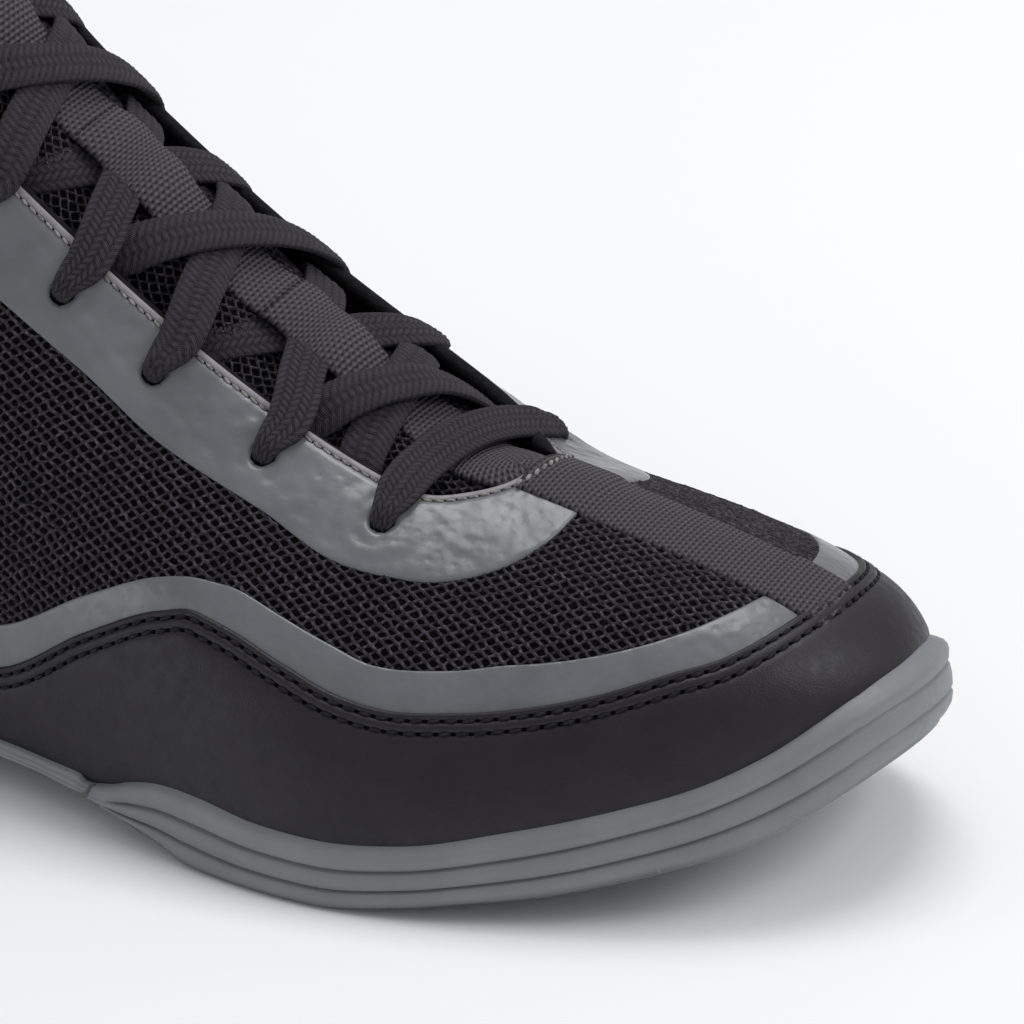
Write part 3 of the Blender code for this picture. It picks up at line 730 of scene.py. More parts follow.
# ---------------------------------------------------------------- cloth body
def make_body():
    """Hollow cloth upper: outer face, lining and the rims between them."""
    cols, rise = 260, 42
    u = np.arange(cols) / cols
    t = np.linspace(0.0, 1.0, rise)
    outer = [skin(u, np.full(cols, s)) for s in t]
    inner = [skin(u, np.full(cols, s), -WALL + 0.4 * smooth(0.86, 1.0, s)) for s in t]
    points = np.concatenate(outer + inner[::-1])
    faces = quads(2 * rise, cols, loop_rows=True, loop_cols=True, flip=True)
    pick = np.repeat((np.arange(2 * rise) >= rise - 1).astype(int), cols)
    return put("upper_cloth", points, faces, [CLOTH, LINING], pick=pick, stands_for=["upper"])


def low_z(x):
    """Underside of the moulded sole."""
    return (tread_z(x) - 1.0 * smooth(228.0, 250.0, x) * (1 - smooth(268.0, 284.0, x))
            + 1.0 * smooth(158.0, 165.0, x) * (1 - smooth(177.0, 187.0, x))
            + 0.7 * smooth(97.0, 104.0, x) * (1 - smooth(150.0, 163.0, x)))


def high_z(x):
    """Upper edge of the moulded sole, where it meets the leather."""
    fine = np.interp(x, (161.0, 163.4, 165.0, 167.0, 170.0, 173.0, 176.0, 179.0, 182.0, 186.0, 190.0, 194.0, 250.2, 256.2, 261.2,
                         266.3, 270.9, 274.9, 276.6, 278.2, 279.4, 280.4, 281.1, 281.6),
                     (-0.9, -0.85, -0.5, -0.25, -0.35, -0.7, -0.7, -0.5, -0.4, -0.5, -0.25, 0.0, 0.0, 0.3, 0.5,
                      0.62, 0.82, 1.12, 0.9, 0.35, -0.3, -0.65, -0.95, -1.2)) * smooth(160.5, 162.0, x)
    return (rim_z(x) + fine - 1.0 * smooth(248.0, 264.0, x) + 0.9 * smooth(168.0, 177.0, x) * (1 - smooth(185.0, 197.0, x))
            + 0.5 * smooth(97.0, 104.0, x) * (1 - smooth(158.0, 164.0, x)))


def sole_share(x):
    """Heights of the two grooves round the wall, as shares of it."""
    fore = smooth(225.0, 280.0, x)
    start = (164.0, 168.3, 173.0, 177.2, 181.5, 185.7, 192.0)
    low = np.interp(x, start, (0.05, 0.09, 0.16, 0.22, 0.27, 0.31, 0.29)) * (x > 164.0) + 0.29 * (x <= 164.0)
    high = np.interp(x, start, (0.22, 0.31, 0.46, 0.53, 0.58, 0.61, 0.60)) * (x > 164.0) + 0.60 * (x <= 164.0)
    return low + 0.055 * fore + 0.05 * smooth(276.0, 286.0, x), high + 0.095 * fore + 0.02 * smooth(276.0, 286.0, x)


def sole_u():
    """Stations round the sole, closer where the forefoot block starts behind the waist."""
    side = np.unique(np.concatenate([np.linspace(0.0, 0.5, 256), np.linspace(0.2150, 0.2240, 44)]).round(7))
    return np.concatenate([side, 1 - side[-2:0:-1]])


SOLE_U = sole_u()
SOLE_COLS = len(SOLE_U)


def make_sole():
    """Moulded sole: three bulged layers, two grooves, rounded foot and a lip round the upper, with a cut tread."""
    u = SOLE_U
    foot, _, _, _, out = ribs(u)
    rings = []
    top_high = high_z(foot[:, 0] + 0.4 * out[:, 0])
    bottom = low_z(foot[:, 0] + 2.4 * out[:, 0])
    hug = ((upper_at(u, height_to_share(u, top_high)) - foot) * out).sum(1)
    tip = smooth(262.0, 282.0, foot[:, 0])
    waist = (1 - smooth(163.6, 164.6, foot[:, 0])) * smooth(93.0, 100.0, foot[:, 0])
    slit = np.exp(-((foot[:, 0] - 163.7) / 0.5) ** 2)

    def stand(share):
        """How far the wall stands out from the foot of the upper."""
        plain = np.interp(share, (0.0, 0.012, 0.05, 1.0), (2.4, 3.1, 3.66, 2.3))
        fore = np.interp(share, (0.0, 0.05, 0.14, 0.33, 0.46, 0.73, 0.9, 1.0), (1.2, 1.9, 2.5, 3.05, 2.75, 2.2, 1.95, 1.4))
        return plain * (1 - tip) + fore * tip - 0.9 * waist - 2.3 * slit

    def ring(share, away):
        p = foot + out * away[:, None]
        p[:, 2] = bottom + share * (top_high - bottom)
        return p

    tall = top_high - bottom
    deep = smooth(3.2, 5.6, tall) * (1 - 0.55 * smooth(268.0, 284.0, foot[:, 0]))
    g2, g1 = sole_share(foot[:, 0])
    one = np.ones(SOLE_COLS)
    layers = ((-0.85, 0.0), (-0.80, 0.03), (-0.30, 0.065), (0.02, 0.15), (0.20, 0.50), (0.04, 0.85), (-0.28, 0.935), (-0.80, 0.97))
    for share in (0.0, 0.012, 0.05):
        rings.append(ring(share * one, stand(share)))
    for low, high, start, end in ((0.0 * g2, g2, 3, 8), (g2, g1, 0, 8), (g1, one, 0, 5)):
        for bulge, part in layers[start:end]:
            share = low + (high - low) * part
            rings.append(ring(share, stand(share) + bulge * (deep if bulge < 0 else 0.5 + 0.5 * deep)))
    for share, back, mix in ((0.90, 0.0, 0.0), (0.945, 0.15, 0.25), (0.975, 0.15, 0.6), (0.993, 0.1, 0.85), (1.0, 0.0, 1.0)):
        plain = np.minimum(stand(share), hug + 2.3 + 3.5 * tip) - back
        mix = mix ** (1 + 0.9 * tip)
        rings.append(ring(share * one, plain * (1 - mix) + (hug + 1.02) * mix))
    top = rings[-1][:, 2]
    for part in (1.0, 0.75, 0.4):
        height = bed_z(foot[:, 0]) + part * (top - 0.4 - bed_z(foot[:, 0]))
        p = upper_at(u, height_to_share(u, height)) + out * 0.25
        p[:, 2] = height
        rings.append(p)
    bed = foot + out * 0.25
    bed[:, 2] = bed_z(bed[:, 0])
    rings.append(bed)
    half = SOLE_COLS // 2
    across = 44

    def floor_of(edge, lift):
        """Net across a ring, from one side to the other."""
        s = np.linspace(0, 1, across + 1)[1:-1][None, :, None]
        a, b = edge[1:half][:, None], edge[:half:-1][:, None]
        p = a * (1 - s) + b * s
        p[..., 2] = lift(p[..., 0], p[..., 1], np.minimum(s, 1 - s)[..., 0] * np.linalg.norm(b - a, axis=2))
        return p

    def tread(x, y, inside):
        """Crossing cuts under the heel and the forefoot, a plain waist between."""
        z = low_z(x)
        span = smooth(4.0, 14.0, x) * (1 - smooth(74.0, 86.0, x)) + smooth(172.0, 184.0, x) * (1 - smooth(268.0, 279.0, x))
        cut = np.zeros_like(x)
        for slope in (0.62, -0.62):
            beat = np.abs(((x + slope * y) / 9.0 + 0.25) % 1.0 - 0.5) * 9.0
            cut = np.maximum(cut, 1 - smooth(0.55, 1.25, beat))
        rim = 1 - smooth(0.4, 1.2, np.abs(inside - 5.5))
        return z + 1.1 * span * np.maximum(cut * smooth(5.0, 6.5, inside), rim)

    points = list(np.concatenate(rings))
    faces = [quads(len(rings), SOLE_COLS, loop_cols=True)]
    for edge, row, lift, down in ((rings[0], 0, tread, True),
                                  (rings[-1], len(rings) - 1, lambda x, y, inside: bed_z(x), False)):
        net = floor_of(edge, lift)
        first = len(points)
        points += list(net.reshape(-1, 3))
        rows, cols = net.shape[:2]
        grid = np.full((rows, cols + 2), -1)
        grid[:, 1:-1] = first + np.arange(rows * cols).reshape(rows, cols)
        grid[:, 0] = row * SOLE_COLS + np.arange(1, half)
        grid[:, -1] = row * SOLE_COLS + np.arange(SOLE_COLS - 1, half, -1)
        f = np.stack([grid[:-1, :-1], grid[:-1, 1:], grid[1:, 1:], grid[1:, :-1]], -1).reshape(-1, 4)
        faces.append(f if down else f[:, ::-1])
        tip, heel = row * SOLE_COLS, row * SOLE_COLS + half
        ends = []
        for line, apex, turn in ((grid[0], tip, False), (grid[-1], heel, True)):
            for k in range(0, len(line) - 1, 2):
                three = [apex, line[min(k + 2, len(line) - 1)], line[k + 1], line[k]]
                if three[1] == three[2]:
                    three = [apex, line[k + 1], line[k], line[k]]
                ends.append(three[::-1] if turn else three)
        ends = [[i for n, i in enumerate(f) if i not in f[:n]] for f in ends]
        four = np.array([f for f in ends if len(f) == 4])
        faces.append(four if down else four[:, ::-1])
        spare = [f for f in ends if len(f) == 3]
        if spare:
            faces.append(np.array([[f[0], f[1], f[2], f[2]] for f in spare]))
    return put("outsole_moulded", np.array(points), np.concatenate(faces), RUBBER, stands_for=["outsole"])


def make_footbed():
    """Insole with a soft rolled rim."""
    cols = 200
    u = np.arange(cols) / cols
    foot, _, _, _, out = ribs(u)
    rings = []
    for away, high in ((WALL + 0.6, 0.3), (WALL + 0.1, 2.2), (WALL + 0.5, 3.3), (4.4, 3.75), (8.0, 3.6), (14.0, 3.3), (20.0, 3.2)):
        p = foot - out * away
        p[:, 2] = bed_z(p[:, 0]) + high
        rings.append(p)
    half = cols // 2
    points = np.concatenate(rings)
    faces = [quads(len(rings), cols, loop_cols=True)]
    for row, down in ((0, True), (len(rings) - 1, False)):
        i = np.arange(1, half - 1)
        f = np.stack([row * cols + i, row * cols + i + 1, row * cols + cols - i - 1, row * cols + cols - i], -1)
        f = np.concatenate([f, [[row * cols, row * cols + 1, row * cols + cols - 1, row * cols + cols - 1],
                                [row * cols + half - 1, row * cols + half, row * cols + half + 1, row * cols + half + 1]]])
        faces.append(f[:, ::-1] if down else f)
    return put("insole_footbed", points, np.concatenate(faces), FOOTBED, stands_for=["insole"])


# ---------------------------------------------------------------- panels
def loop_u(count):
    """Stations round the foot, closer together at the toe."""
    s = np.arange(count) / count
    return s - 0.075 / (2 * np.pi) * np.sin(2 * np.pi * s) * 2.0


LOOP = loop_u(460)


def puff(p, u, t, i, count):
    """Soft unevenness of stretched leather."""
    return 0.10 * np.sin(p[:, 0] * 0.21 + p[:, 2] * 0.13) * np.sin(p[:, 1] * 0.17 + 1.0) * np.sin(np.pi * i / count)


def make_mudguard():
    top = (LOOP, mudguard_top(LOOP))
    foot = ribs(LOOP)[0]
    tuck = np.maximum(high_z(foot[:, 0]) - 1.6, bed_z(foot[:, 0]) + 0.6)
    low = (LOOP, height_to_share(LOOP, tuck))
    edge = [(0.0, -0.3), (0.0, 0.55), (0.12, 0.95), (0.45, 1.25), (0.85, 1.22), (1.15, 0.92), (1.45, 0.92),
            (1.8, 1.25), (2.3, 1.42), (2.75, 1.32), (3.05, 0.98), (3.4, 0.98), (3.8, 1.25), (4.6, 1.40)]
    body = [1.45, 1.5, 1.5, 1.48, 1.45, 1.4, 1.35, 1.3]
    foot_rows = [(0.0, 0.9), (0.8, 1.05)]
    return panel("mudguard_leather", top, low, edge, foot_rows, body, True, LEATHER, extra=puff)


def make_film_band():
    top = (LOOP, film_top(LOOP))
    low = beside(LOOP, mudguard_top(LOOP), 1.6, True)
    edge = [(0.0, -0.3), (0.0, 0.40), (0.12, 0.55), (0.5, 0.62)]
    return panel("film_band", top, low, edge, [(0.0, 0.35), (0.6, 0.5)], [0.64, 0.66, 0.66, 0.6], True, [FILM, CUT],
                 pick_row=lambda i: 1 if i == 0 else 0)


def eyelet_marks():
    spots = []
    for row in LACED:
        for side, run in ((-1, row[0]), (1, row[1])):
            u, t = inset_ut(run, EYELET_INSET, side)
            spots.append(upper_at(u, t)[0])
    return np.array(spots)


EYELET_SPOTS = eyelet_marks()


def lumps(p, waves, seed):
    """Sum of soft waves in chosen lengths, in no one direction."""
    pick = np.random.default_rng(seed)
    total = np.zeros(len(p))
    for length, size in waves:
        way = pick.normal(size=3)
        way[0] *= 0.7
        total += size * np.sin(p @ (unit(way) * 2 * np.pi / length) + pick.uniform(0, 2 * np.pi))
    return total


LUMPS = ((2.1, 0.022), (2.4, 0.022), (2.8, 0.026), (3.3, 0.03), (3.9, 0.03), (4.7, 0.035), (5.8, 0.04), (7.3, 0.05), (9.5, 0.06), (13.0, 0.08))


def strained(p, u, t, i, count):
    """Punched eyelets, the pucker round them and pulls between them."""
    gap = np.linalg.norm(p[:, None] - EYELET_SPOTS[None], axis=2)
    near = gap.min(1)
    hole = -1.6 * (1 - smooth(1.4, 2.2, near))
    lip = 0.07 * np.exp(-((near - 3.3) / 0.9) ** 2)
    pull = 0.14 * np.sin(near * 1.35 + 0.6 * np.sin(p[:, 0] * 0.4)) * np.exp(-((near - 6.5) / 5.0) ** 2)
    soft = smooth(0.22, 0.40, i / count) * (1 - smooth(0.72, 0.94, i / count))
    return hole + lip + np.maximum(pull + lumps(p, LUMPS, 5) * (1.8 - 1.4 * smooth(170.0, 210.0, p[:, 0])), -0.14) * soft * (1 - smooth(140.0, 158.0, p[:, 2]))


def eyestay_u():
    """Stations along the eyestay, evenly spaced along the throat."""
    run = np.linspace(0.0, EDGE_RUN[-1], 300)
    side = np.interp(run, EDGE_RUN, EDGE_U)
    tail = np.linspace(side[-1], EYESTAY_END, 26)[1:]
    side = np.concatenate([side, tail])
    return np.concatenate([-side[:0:-1], side])


def make_eyestay():
    u = eyestay_u()
    top = (u, np.ones(len(u)))
    low = (u, eyestay_low(u))
    edge = [(0.0, 0.10), (0.0, 0.30), (0.18, 0.50), (0.6, 0.56), (0.95, 0.52), (1.12, 0.36), (1.45, 0.36), (1.75, 0.56), (2.6, 0.62)]
    rows = [0.62] * 17
    return panel("eyestay_film", top, low, edge, [(0.0, 0.10), (0.0, 0.42), (0.4, 0.58)], rows, False, [FILM, CUT],
                 pick_row=lambda i: 1 if i < 4 else 0, extra=strained)


def make_binding():
    """Folded tape round the collar's edge."""
    u = np.linspace(EYESTAY_END - 0.024, 1 - EYESTAY_END + 0.024, 240)
    one = np.ones(len(u))
    edge = upper_at(u, one)
    n = normal_at(u, one * 0.9995)
    lower = settle(u.copy(), one.copy(), edge - np.array([0, 0, 5.5]))
    rise = unit(edge - upper_at(*lower))
    rise = unit(rise - (rise * n).sum(1)[:, None] * n)
    profile = ((-5.6, -0.3), (-5.6, 0.35), (-5.2, 0.62), (-4.3, 0.58), (-2.0, 0.75), (-0.4, 0.85), (0.4, 0.55), (0.85, -0.1),
               (0.9, -0.9), (0.55, -1.7), (-0.2, -2.15), (-2.0, -2.2), (-4.6, -2.1), (-5.2, -1.9), (-5.2, -1.2))
    grid = np.array([edge + rise * a + n * b for a, b in profile])
    faces = [quads(len(profile), len(u), loop_rows=True, flip=False)]
    cols = len(u)
    k = len(profile)
    points = grid.reshape(-1, 3)
    for col, turn in ((0, False), (cols - 1, True)):
        mid = len(points)
        points = np.concatenate([points, grid[:, col].mean(0)[None]])
        r = np.arange(k)
        f = np.stack([np.full(k, mid), ((r + 1) % k) * cols + col, r * cols + col, r * cols + col], -1)
        faces.append(f[:, [0, 2, 1, 1]] if turn else f)
    return put("collar_binding", points, np.concatenate(faces), BINDING)


def make_back_seam():
    """Plain seam tape up the back, from the counter to the collar."""
    t = np.linspace(0.20, 0.985, 120)
    u = np.full(len(t), 0.5)
    rows = []
    for d, h in ((4.2, -0.2), (4.2, 0.3), (3.8, 0.52), (1.5, 0.6), (0.0, 0.62), (-1.5, 0.6), (-3.8, 0.52), (-4.2, 0.3), (-4.2, -0.2)):
        uu, tt = beside(u, t, d, False)
        rows.append(skin(uu, tt, h))
    grid = np.array(rows)
    gone = np.concatenate([[0], np.cumsum(np.linalg.norm(np.diff(grid[4], axis=0), axis=1))])
    mark = np.stack(np.broadcast_arrays(gone[None, :], np.array([4.2, 4.2, 3.8, 1.5, 0, -1.5, -3.8, -4.2, -4.2])[:, None]), -1).reshape(-1, 2)
    return put("back_seam_tape", grid.reshape(-1, 3), quads(len(rows), len(t), loop_rows=True, flip=True), WEBBING, mark=mark)


# ---------------------------------------------------------------- tongue and webbing
TONGUE_TOP = (11.0, 22.0, 31.0)


TAPE_BARS = (62.0, 103.5, 145.0)
TAPE_RISES = (54.0, 93.8, 132.2)


def tongue_drop(q, run):
    """Depth of the tongue's face under the throat's edges, pressed in where laces cross beneath the webbing."""
    press = sum(np.exp(-((run - r) / 8.0) ** 2) for r in TAPE_RISES)
    return (2.7 + 1.6 * smooth(0.55, 0.95, np.abs(q))) * (0.55 + 0.45 * smooth(6.0, 30.0, run)) + 2.2 * press * (1 - smooth(0.55, 0.95, np.abs(q)))


TONGUE_RUNS = np.concatenate([np.linspace(1.6, 22.0, 14), np.linspace(24.0, EYELETS[-1][0] + 3.0, 78)])


def tongue_net():
    """Net of points over the tongue's outer face, up to its free top."""
    q = np.concatenate([np.linspace(-1.5, -1.12, 5), np.linspace(-1.0, 1.0, 31), np.linspace(1.12, 1.5, 5)])
    rows = len(TONGUE_RUNS)

    def spread_out(some):
        return np.repeat(TONGUE_RUNS, len(some)), np.tile(some, rows)
    parts = []
    for some, side in ((q[:5], -1), (q[5:-5], 0), (q[-5:], 1)):
        run, at = spread_out(some)
        if side:
            p, n = inset(run, 18.0 * (np.abs(at) - 1), side)
            p = p - n * tongue_drop(1.0, run)[:, None]
        else:
            p = arch(run, run, at, -tongue_drop(at, run))
        parts.append(p.reshape(rows, len(some), 3))
    grid = list(np.concatenate(parts, 1))
    last = grid[-1]
    lead = unit((last - grid[-5]).mean(0))
    lead = unit(lead + np.array([0.0, 0.0, 1.2]))
    middle = last.mean(0)
    rises, steps = np.linspace(0, 1, 14)[1:], len(TONGUE_TOP)
    reach = np.interp(rises, np.linspace(0, 1, steps + 1), (0.0,) + TONGUE_TOP)
    for part, rise in zip(rises, reach):
        narrow = 1.0 - 0.05 * (part * steps) ** 1.4
        grid.append((last - middle) * np.array([1.0, narrow, 1.0]) + middle + lead * (rise + 8.0 * part)
                    - np.array([1.0, 0.0, 0.0]) * part)
    return np.array(grid), q


TONGUE, TONGUE_Q = tongue_net()
TONGUE_N = normals_of(TONGUE)
if TONGUE_N[40, 20] @ np.array([0.4, 0.0, 1.0]) < 0:
    TONGUE_N = -TONGUE_N
TONGUE_S = np.concatenate([np.zeros((1, TONGUE.shape[1])), np.cumsum(np.linalg.norm(np.diff(TONGUE, axis=0), axis=2), axis=0)])
TONGUE_W = np.concatenate([np.zeros((len(TONGUE), 1)), np.cumsum(np.linalg.norm(np.diff(TONGUE, axis=1), axis=2), axis=1)], 1)
TONGUE_W = TONGUE_W - TONGUE_W[:, TONGUE.shape[1] // 2][:, None]


def tongue_at(s, w, h):
    """Point over the tongue: s along its middle, w across it, h above its face."""
    s, w = np.broadcast_arrays(np.asarray(s, float), np.asarray(w, float))
    mid = TONGUE.shape[1] // 2
    row = np.interp(s, TONGUE_S[:, mid], np.arange(len(TONGUE)))
    r0 = np.clip(row.astype(int), 0, len(TONGUE) - 2)
    f = (row - r0)[..., None]

    def on(r):
        wide = TONGUE_W[r]
        col = np.clip((wide < w[..., None]).sum(-1) - 1, 0, wide.shape[-1] - 2)
        a = np.take_along_axis(wide, col[..., None], -1)[..., 0]
        b = np.take_along_axis(wide, col[..., None] + 1, -1)[..., 0]
        g = np.clip((w - a) / (b - a), 0, 1)[..., None]
        return (TONGUE[r, col] * (1 - g) + TONGUE[r, col + 1] * g, TONGUE_N[r, col] * (1 - g) + TONGUE_N[r, col + 1] * g)
    (pa, na), (pb, nb) = on(r0), on(r0 + 1)
    n = unit(na * (1 - f) + nb * f)
    return pa * (1 - f) + pb * f + n * np.broadcast_to(h, s.shape)[..., None], n


def run_to_s(run):
    """Along the tongue's middle at a run of the throat's edge."""
    return np.interp(run, TONGUE_RUNS, TONGUE_S[:len(TONGUE_RUNS), TONGUE.shape[1] // 2])


def make_tongue():
    """Padded tongue with rounded edges."""
    rows, cols = TONGUE.shape[:2]
    side = np.minimum(np.arange(cols), np.arange(cols)[::-1])
    end = np.arange(rows)[::-1]
    edge = np.minimum(side[None, :], end[:, None])
    soft = 0.5 * (1 - np.array([0.0, 0.6, 0.85, 1.0])[np.clip(edge, 0, 3)])
    thick = 3.0
    front = TONGUE - TONGUE_N * (soft * thick)[..., None]
    back = TONGUE - TONGUE_N * (thick * (1 - soft))[..., None]
    pad = 0.5 * smooth(0.90, 0.96, np.arange(rows) / rows) * np.sin(np.pi * np.clip(np.arange(cols) / (cols - 1), 0, 1)).clip(0)[:, None]
    front = front + TONGUE_N * pad.T[..., None]
    n = rows * cols
    faces = [quads(rows, cols), quads(rows, cols, first=n, flip=True)]
    c, r = np.arange(cols - 1), np.arange(rows - 1)
    for row, turn in ((0, False), (rows - 1, True)):
        ring = [row * cols + c, n + row * cols + c, n + row * cols + c + 1, row * cols + c + 1]
        faces.append(np.stack(ring[::-1] if turn else ring, -1))
    for col, turn in ((0, True), (cols - 1, False)):
        ring = [r * cols + col, n + r * cols + col, n + (r + 1) * cols + col, (r + 1) * cols + col]
        faces.append(np.stack(ring[::-1] if turn else ring, -1))
    points = np.concatenate([front.reshape(-1, 3), back.reshape(-1, 3)])
    pad = put("tongue_padded", points, outward(points, np.concatenate(faces)), CLOTH, stands_for=["tongue"])
    return pad


TAPE_HALF = 7.5
TAPE_PROFILE = ((-1.0, -0.25), (-1.0, 0.25), (-0.975, 0.55), (-0.9, 0.68), (-0.6, 0.66), (-0.3, 0.66), (0.0, 0.66), (0.3, 0.66),
                (0.6, 0.66), (0.9, 0.68), (0.975, 0.55), (1.0, 0.25), (1.0, -0.25))


def strip(name, grid, mark, mat):
    """Closed tape from a net of sections, the first index across it."""
    rows, cols = grid.shape[:2]
    faces = [quads(rows, cols, loop_rows=True)]
    for col, turn in ((0, True), (cols - 1, False)):
        for a in range(rows // 2):
            f = [a * cols + col, (a + 1) * cols + col, (rows - 2 - a) * cols + col, (rows - 1 - a) * cols + col]
            if len(set(f)) == 4:
                faces.append(np.array([f[::-1] if turn else f]))
    return put(name, grid.reshape(-1, 3), outward(grid.reshape(-1, 3), np.concatenate(faces)), mat, mark=mark.reshape(-1, 2))


def make_vamp_tape():
    """Webbing down the middle of the toe, from the mudguard to the throat."""
    t = np.linspace(0.43, 1.0, 110)
    u = np.zeros(len(t))
    gone = np.concatenate([[0], np.cumsum(np.linalg.norm(np.diff(upper_at(u, t), axis=0), axis=1))])
    base = 0.55 * (1 - smooth(0.58, 0.60, t)) + 0.55 * smooth(0.90, 0.92, t)
    rows, marks = [], []
    for part, high in TAPE_PROFILE:
        half = TAPE_HALF + (1.4 * smooth(0.55, 1.0, t) if part < 0 else 0.0 * t)
        uu, tt = beside(u, t, -part * half, False, top=1.004)
        rows.append(skin(uu, np.minimum(tt, 1.004), base + high))
        marks.append(np.stack([gone, part * half], 1))
    return strip("vamp_webbing", np.array(rows), np.array(marks), WEBBING)


def tape_height(s):
    """Webbing over the tongue's face: taut over each crossing that runs beneath it."""
    high = 0.4 + 0.9 * (1 - smooth(4.0, 19.0, np.asarray(s)))
    for run in TAPE_RISES:
        d = np.abs(s - run_to_s(run))
        high = np.maximum(high, 0.4 + 3.8 * (1 - smooth(3.5, 13.0, d)))
    return high


def tape_half(s):
    """The webbing is drawn in a little above the throat's front."""
    return 6.1 + 2.4 * (1 - smooth(5.0, 26.0, np.asarray(s)))


def make_tongue_tape():
    s = np.linspace(1.5, TONGUE_S[-8, TONGUE.shape[1] // 2], 330)
    rows, marks = [], []
    for part, high in TAPE_PROFILE:
        h = tape_height(s)
        arched = h * (1 - 0.22 * part ** 2)
        back = 1.4 * max(part, 0.0) * (1 - smooth(1.5, 9.0, s))
        rows.append(tongue_at(s - back, part * tape_half(s), arched + high)[0])
        marks.append(np.stack([s, part * tape_half(s)], 1))
    grid, marks = np.array(rows), np.array(marks)
    lead = unit((grid[:, 6] - grid[:, 0]).mean(0))
    steps = np.array([(5.0, 1.9), (3.4, 1.1), (1.7, 0.45)])     # tucked in under the vamp
    tuck = grid[:, :1] - lead * steps[None, :, :1] - np.array([0.0, 0.0, 1.0]) * steps[None, :, 1:]
    early = marks[:, :1] - np.array([1.0, 0.0]) * steps[None, :, :1]
    return strip("tongue_webbing", np.concatenate([tuck, grid], 1), np.concatenate([early, marks], 1), WEBBING)


def make_throat_roll():
    """Soft rolled lining that stands up along each side of the throat."""
    for side, word in ((-1, "lateral"), (1, "medial")):
        run = np.linspace(10.0, EDGE_RUN[-1] - 1.0, 260)
        edge, n = inset(run, 0.0, side)
        rise = unit(edge - inset(run, 1.5, side)[0])
        end = np.minimum(1.0, np.minimum(run - 10.0, run[-1] - run) / 5.0 + 0.15)[None, :, None]
        a = np.arange(14) * 2 * np.pi / 14
        mid, up, fat = (0.0, 0.95, 1.3) if side > 0 else (-0.80, -0.30, 0.95)
        ring = np.stack([fat * np.cos(a), up + 1.1 * fat * np.sin(a)], 1)
        grid = edge[None] + n[None] * (ring[:, :1] * end[..., 0] + mid)[..., None] + rise[None] * (ring[:, 1:] * end[..., 0])[..., None]
        rows, cols = grid.shape[:2]
        faces = [quads(rows, cols, loop_rows=True)]
        for col, turn in ((0, False), (cols - 1, True)):
            for k in range(6):
                f = [k * cols + col, (k + 1) * cols + col, (12 - k) * cols + col, (13 - k) * cols + col]
                faces.append(np.array([f[::-1] if turn else f]))
        points = grid.reshape(-1, 3)
        put("throat_roll_" + word, points, outward(points, np.concatenate(faces)), LINING)


# ---------------------------------------------------------------- lace
LACE_HALF = 3.75
LACE_THIN = 0.85
LACE_ON = 1.5          # lace's middle over the film
CLEAR = (0.40, 0.28)   # where the first crossing comes up, as a share of the way to the second eyelets
# narrow through the eyelet, then opening out: distance from the edge, height, half width, half thickness
RISE_OUT = ((7.7, -0.6, 1.75, 1.25), (7.2, 0.75, 1.85, 1.25), (5.9, LACE_ON + 0.1, 2.3, 1.08), (3.8, LACE_ON, 3.0, 0.95), (1.5, LACE_ON, 3.55, LACE_THIN))


def crossing(row, side, top):
    """Route from the eyelet of a row on one side to just inside the next row's eyelet across the throat.

    Each point has its place, the way along the edge there, half width, half thickness and whether it shows."""
    over = row % 2 == 0
    start = 1 if side > 0 else 0
    low, high = np.array(LACED[row]), np.array(LACED[row + 1])
    first = row == 0
    run = low[start]
    points = []
    if first:
        turn = run + CLEAR[start] * (high[start] - run)
        for away, under, half in ((6.6, 3.2, 2.4), (4.0, 3.5, 3.0), (1.2, 3.5, LACE_HALF)):
            r = run + (turn - run) * (1 - away / 7.6)
            p, n = inset(r, away, side)
            points.append(((p - n * under)[0], edge_way(r, side)[0], half, 0.85, False))
    else:
        for away, lift, half, thin in RISE_OUT:
            p, n = inset(run, away, side)
            points.append(((p + n * lift)[0], edge_way(run, side)[0], half, thin, True))
    shares = np.array([-0.86, -0.6, -0.35, -0.12, 0.12, 0.35, 0.58, 0.78, 0.93])
    crown = (1.4 if top else -0.55) if over else (-1.8 if top else -3.65)
    begin = -2.6 if first else LACE_ON
    lifts = np.interp(shares, (-1.0, -0.55, -0.2, 0.2, 0.5, 0.78, 1.0),
                      (begin, 0.45 * begin + 0.55 * crown, crown, crown, crown - 0.25, min(-1.7, crown - 0.4), min(-3.4, crown - 0.5)))
    ahead = 0.5 * (shares + 1)
    if first:
        ahead = CLEAR[start] + (1 - CLEAR[start]) * ahead
    run_l, run_m = (low[k] + (high[k] - low[k]) * ahead for k in (0, 1))
    near = (0.5 + 0.5 * side * shares)[:, None]
    ways = unit(edge_way(run_l, -1) * near + edge_way(run_m, 1) * (1 - near))
    for p, way, share in zip(arch(run_l, run_m, -side * shares, lifts), ways, shares):
        points.append((p, way, LACE_HALF, LACE_THIN, share < 0.9))
    run = high[1 - start]
    for away, under, half in ((1.6, 3.7, 3.3), (4.2, 3.7, 2.9), (6.6, 3.4, 2.2), (7.7, 2.0, 1.8)):
        p, n = inset(run, away, -side)
        points.append(((p - n * under)[0], edge_way(run, -side)[0], half, 0.9 if under > 3 else 1.2, False))
    return points


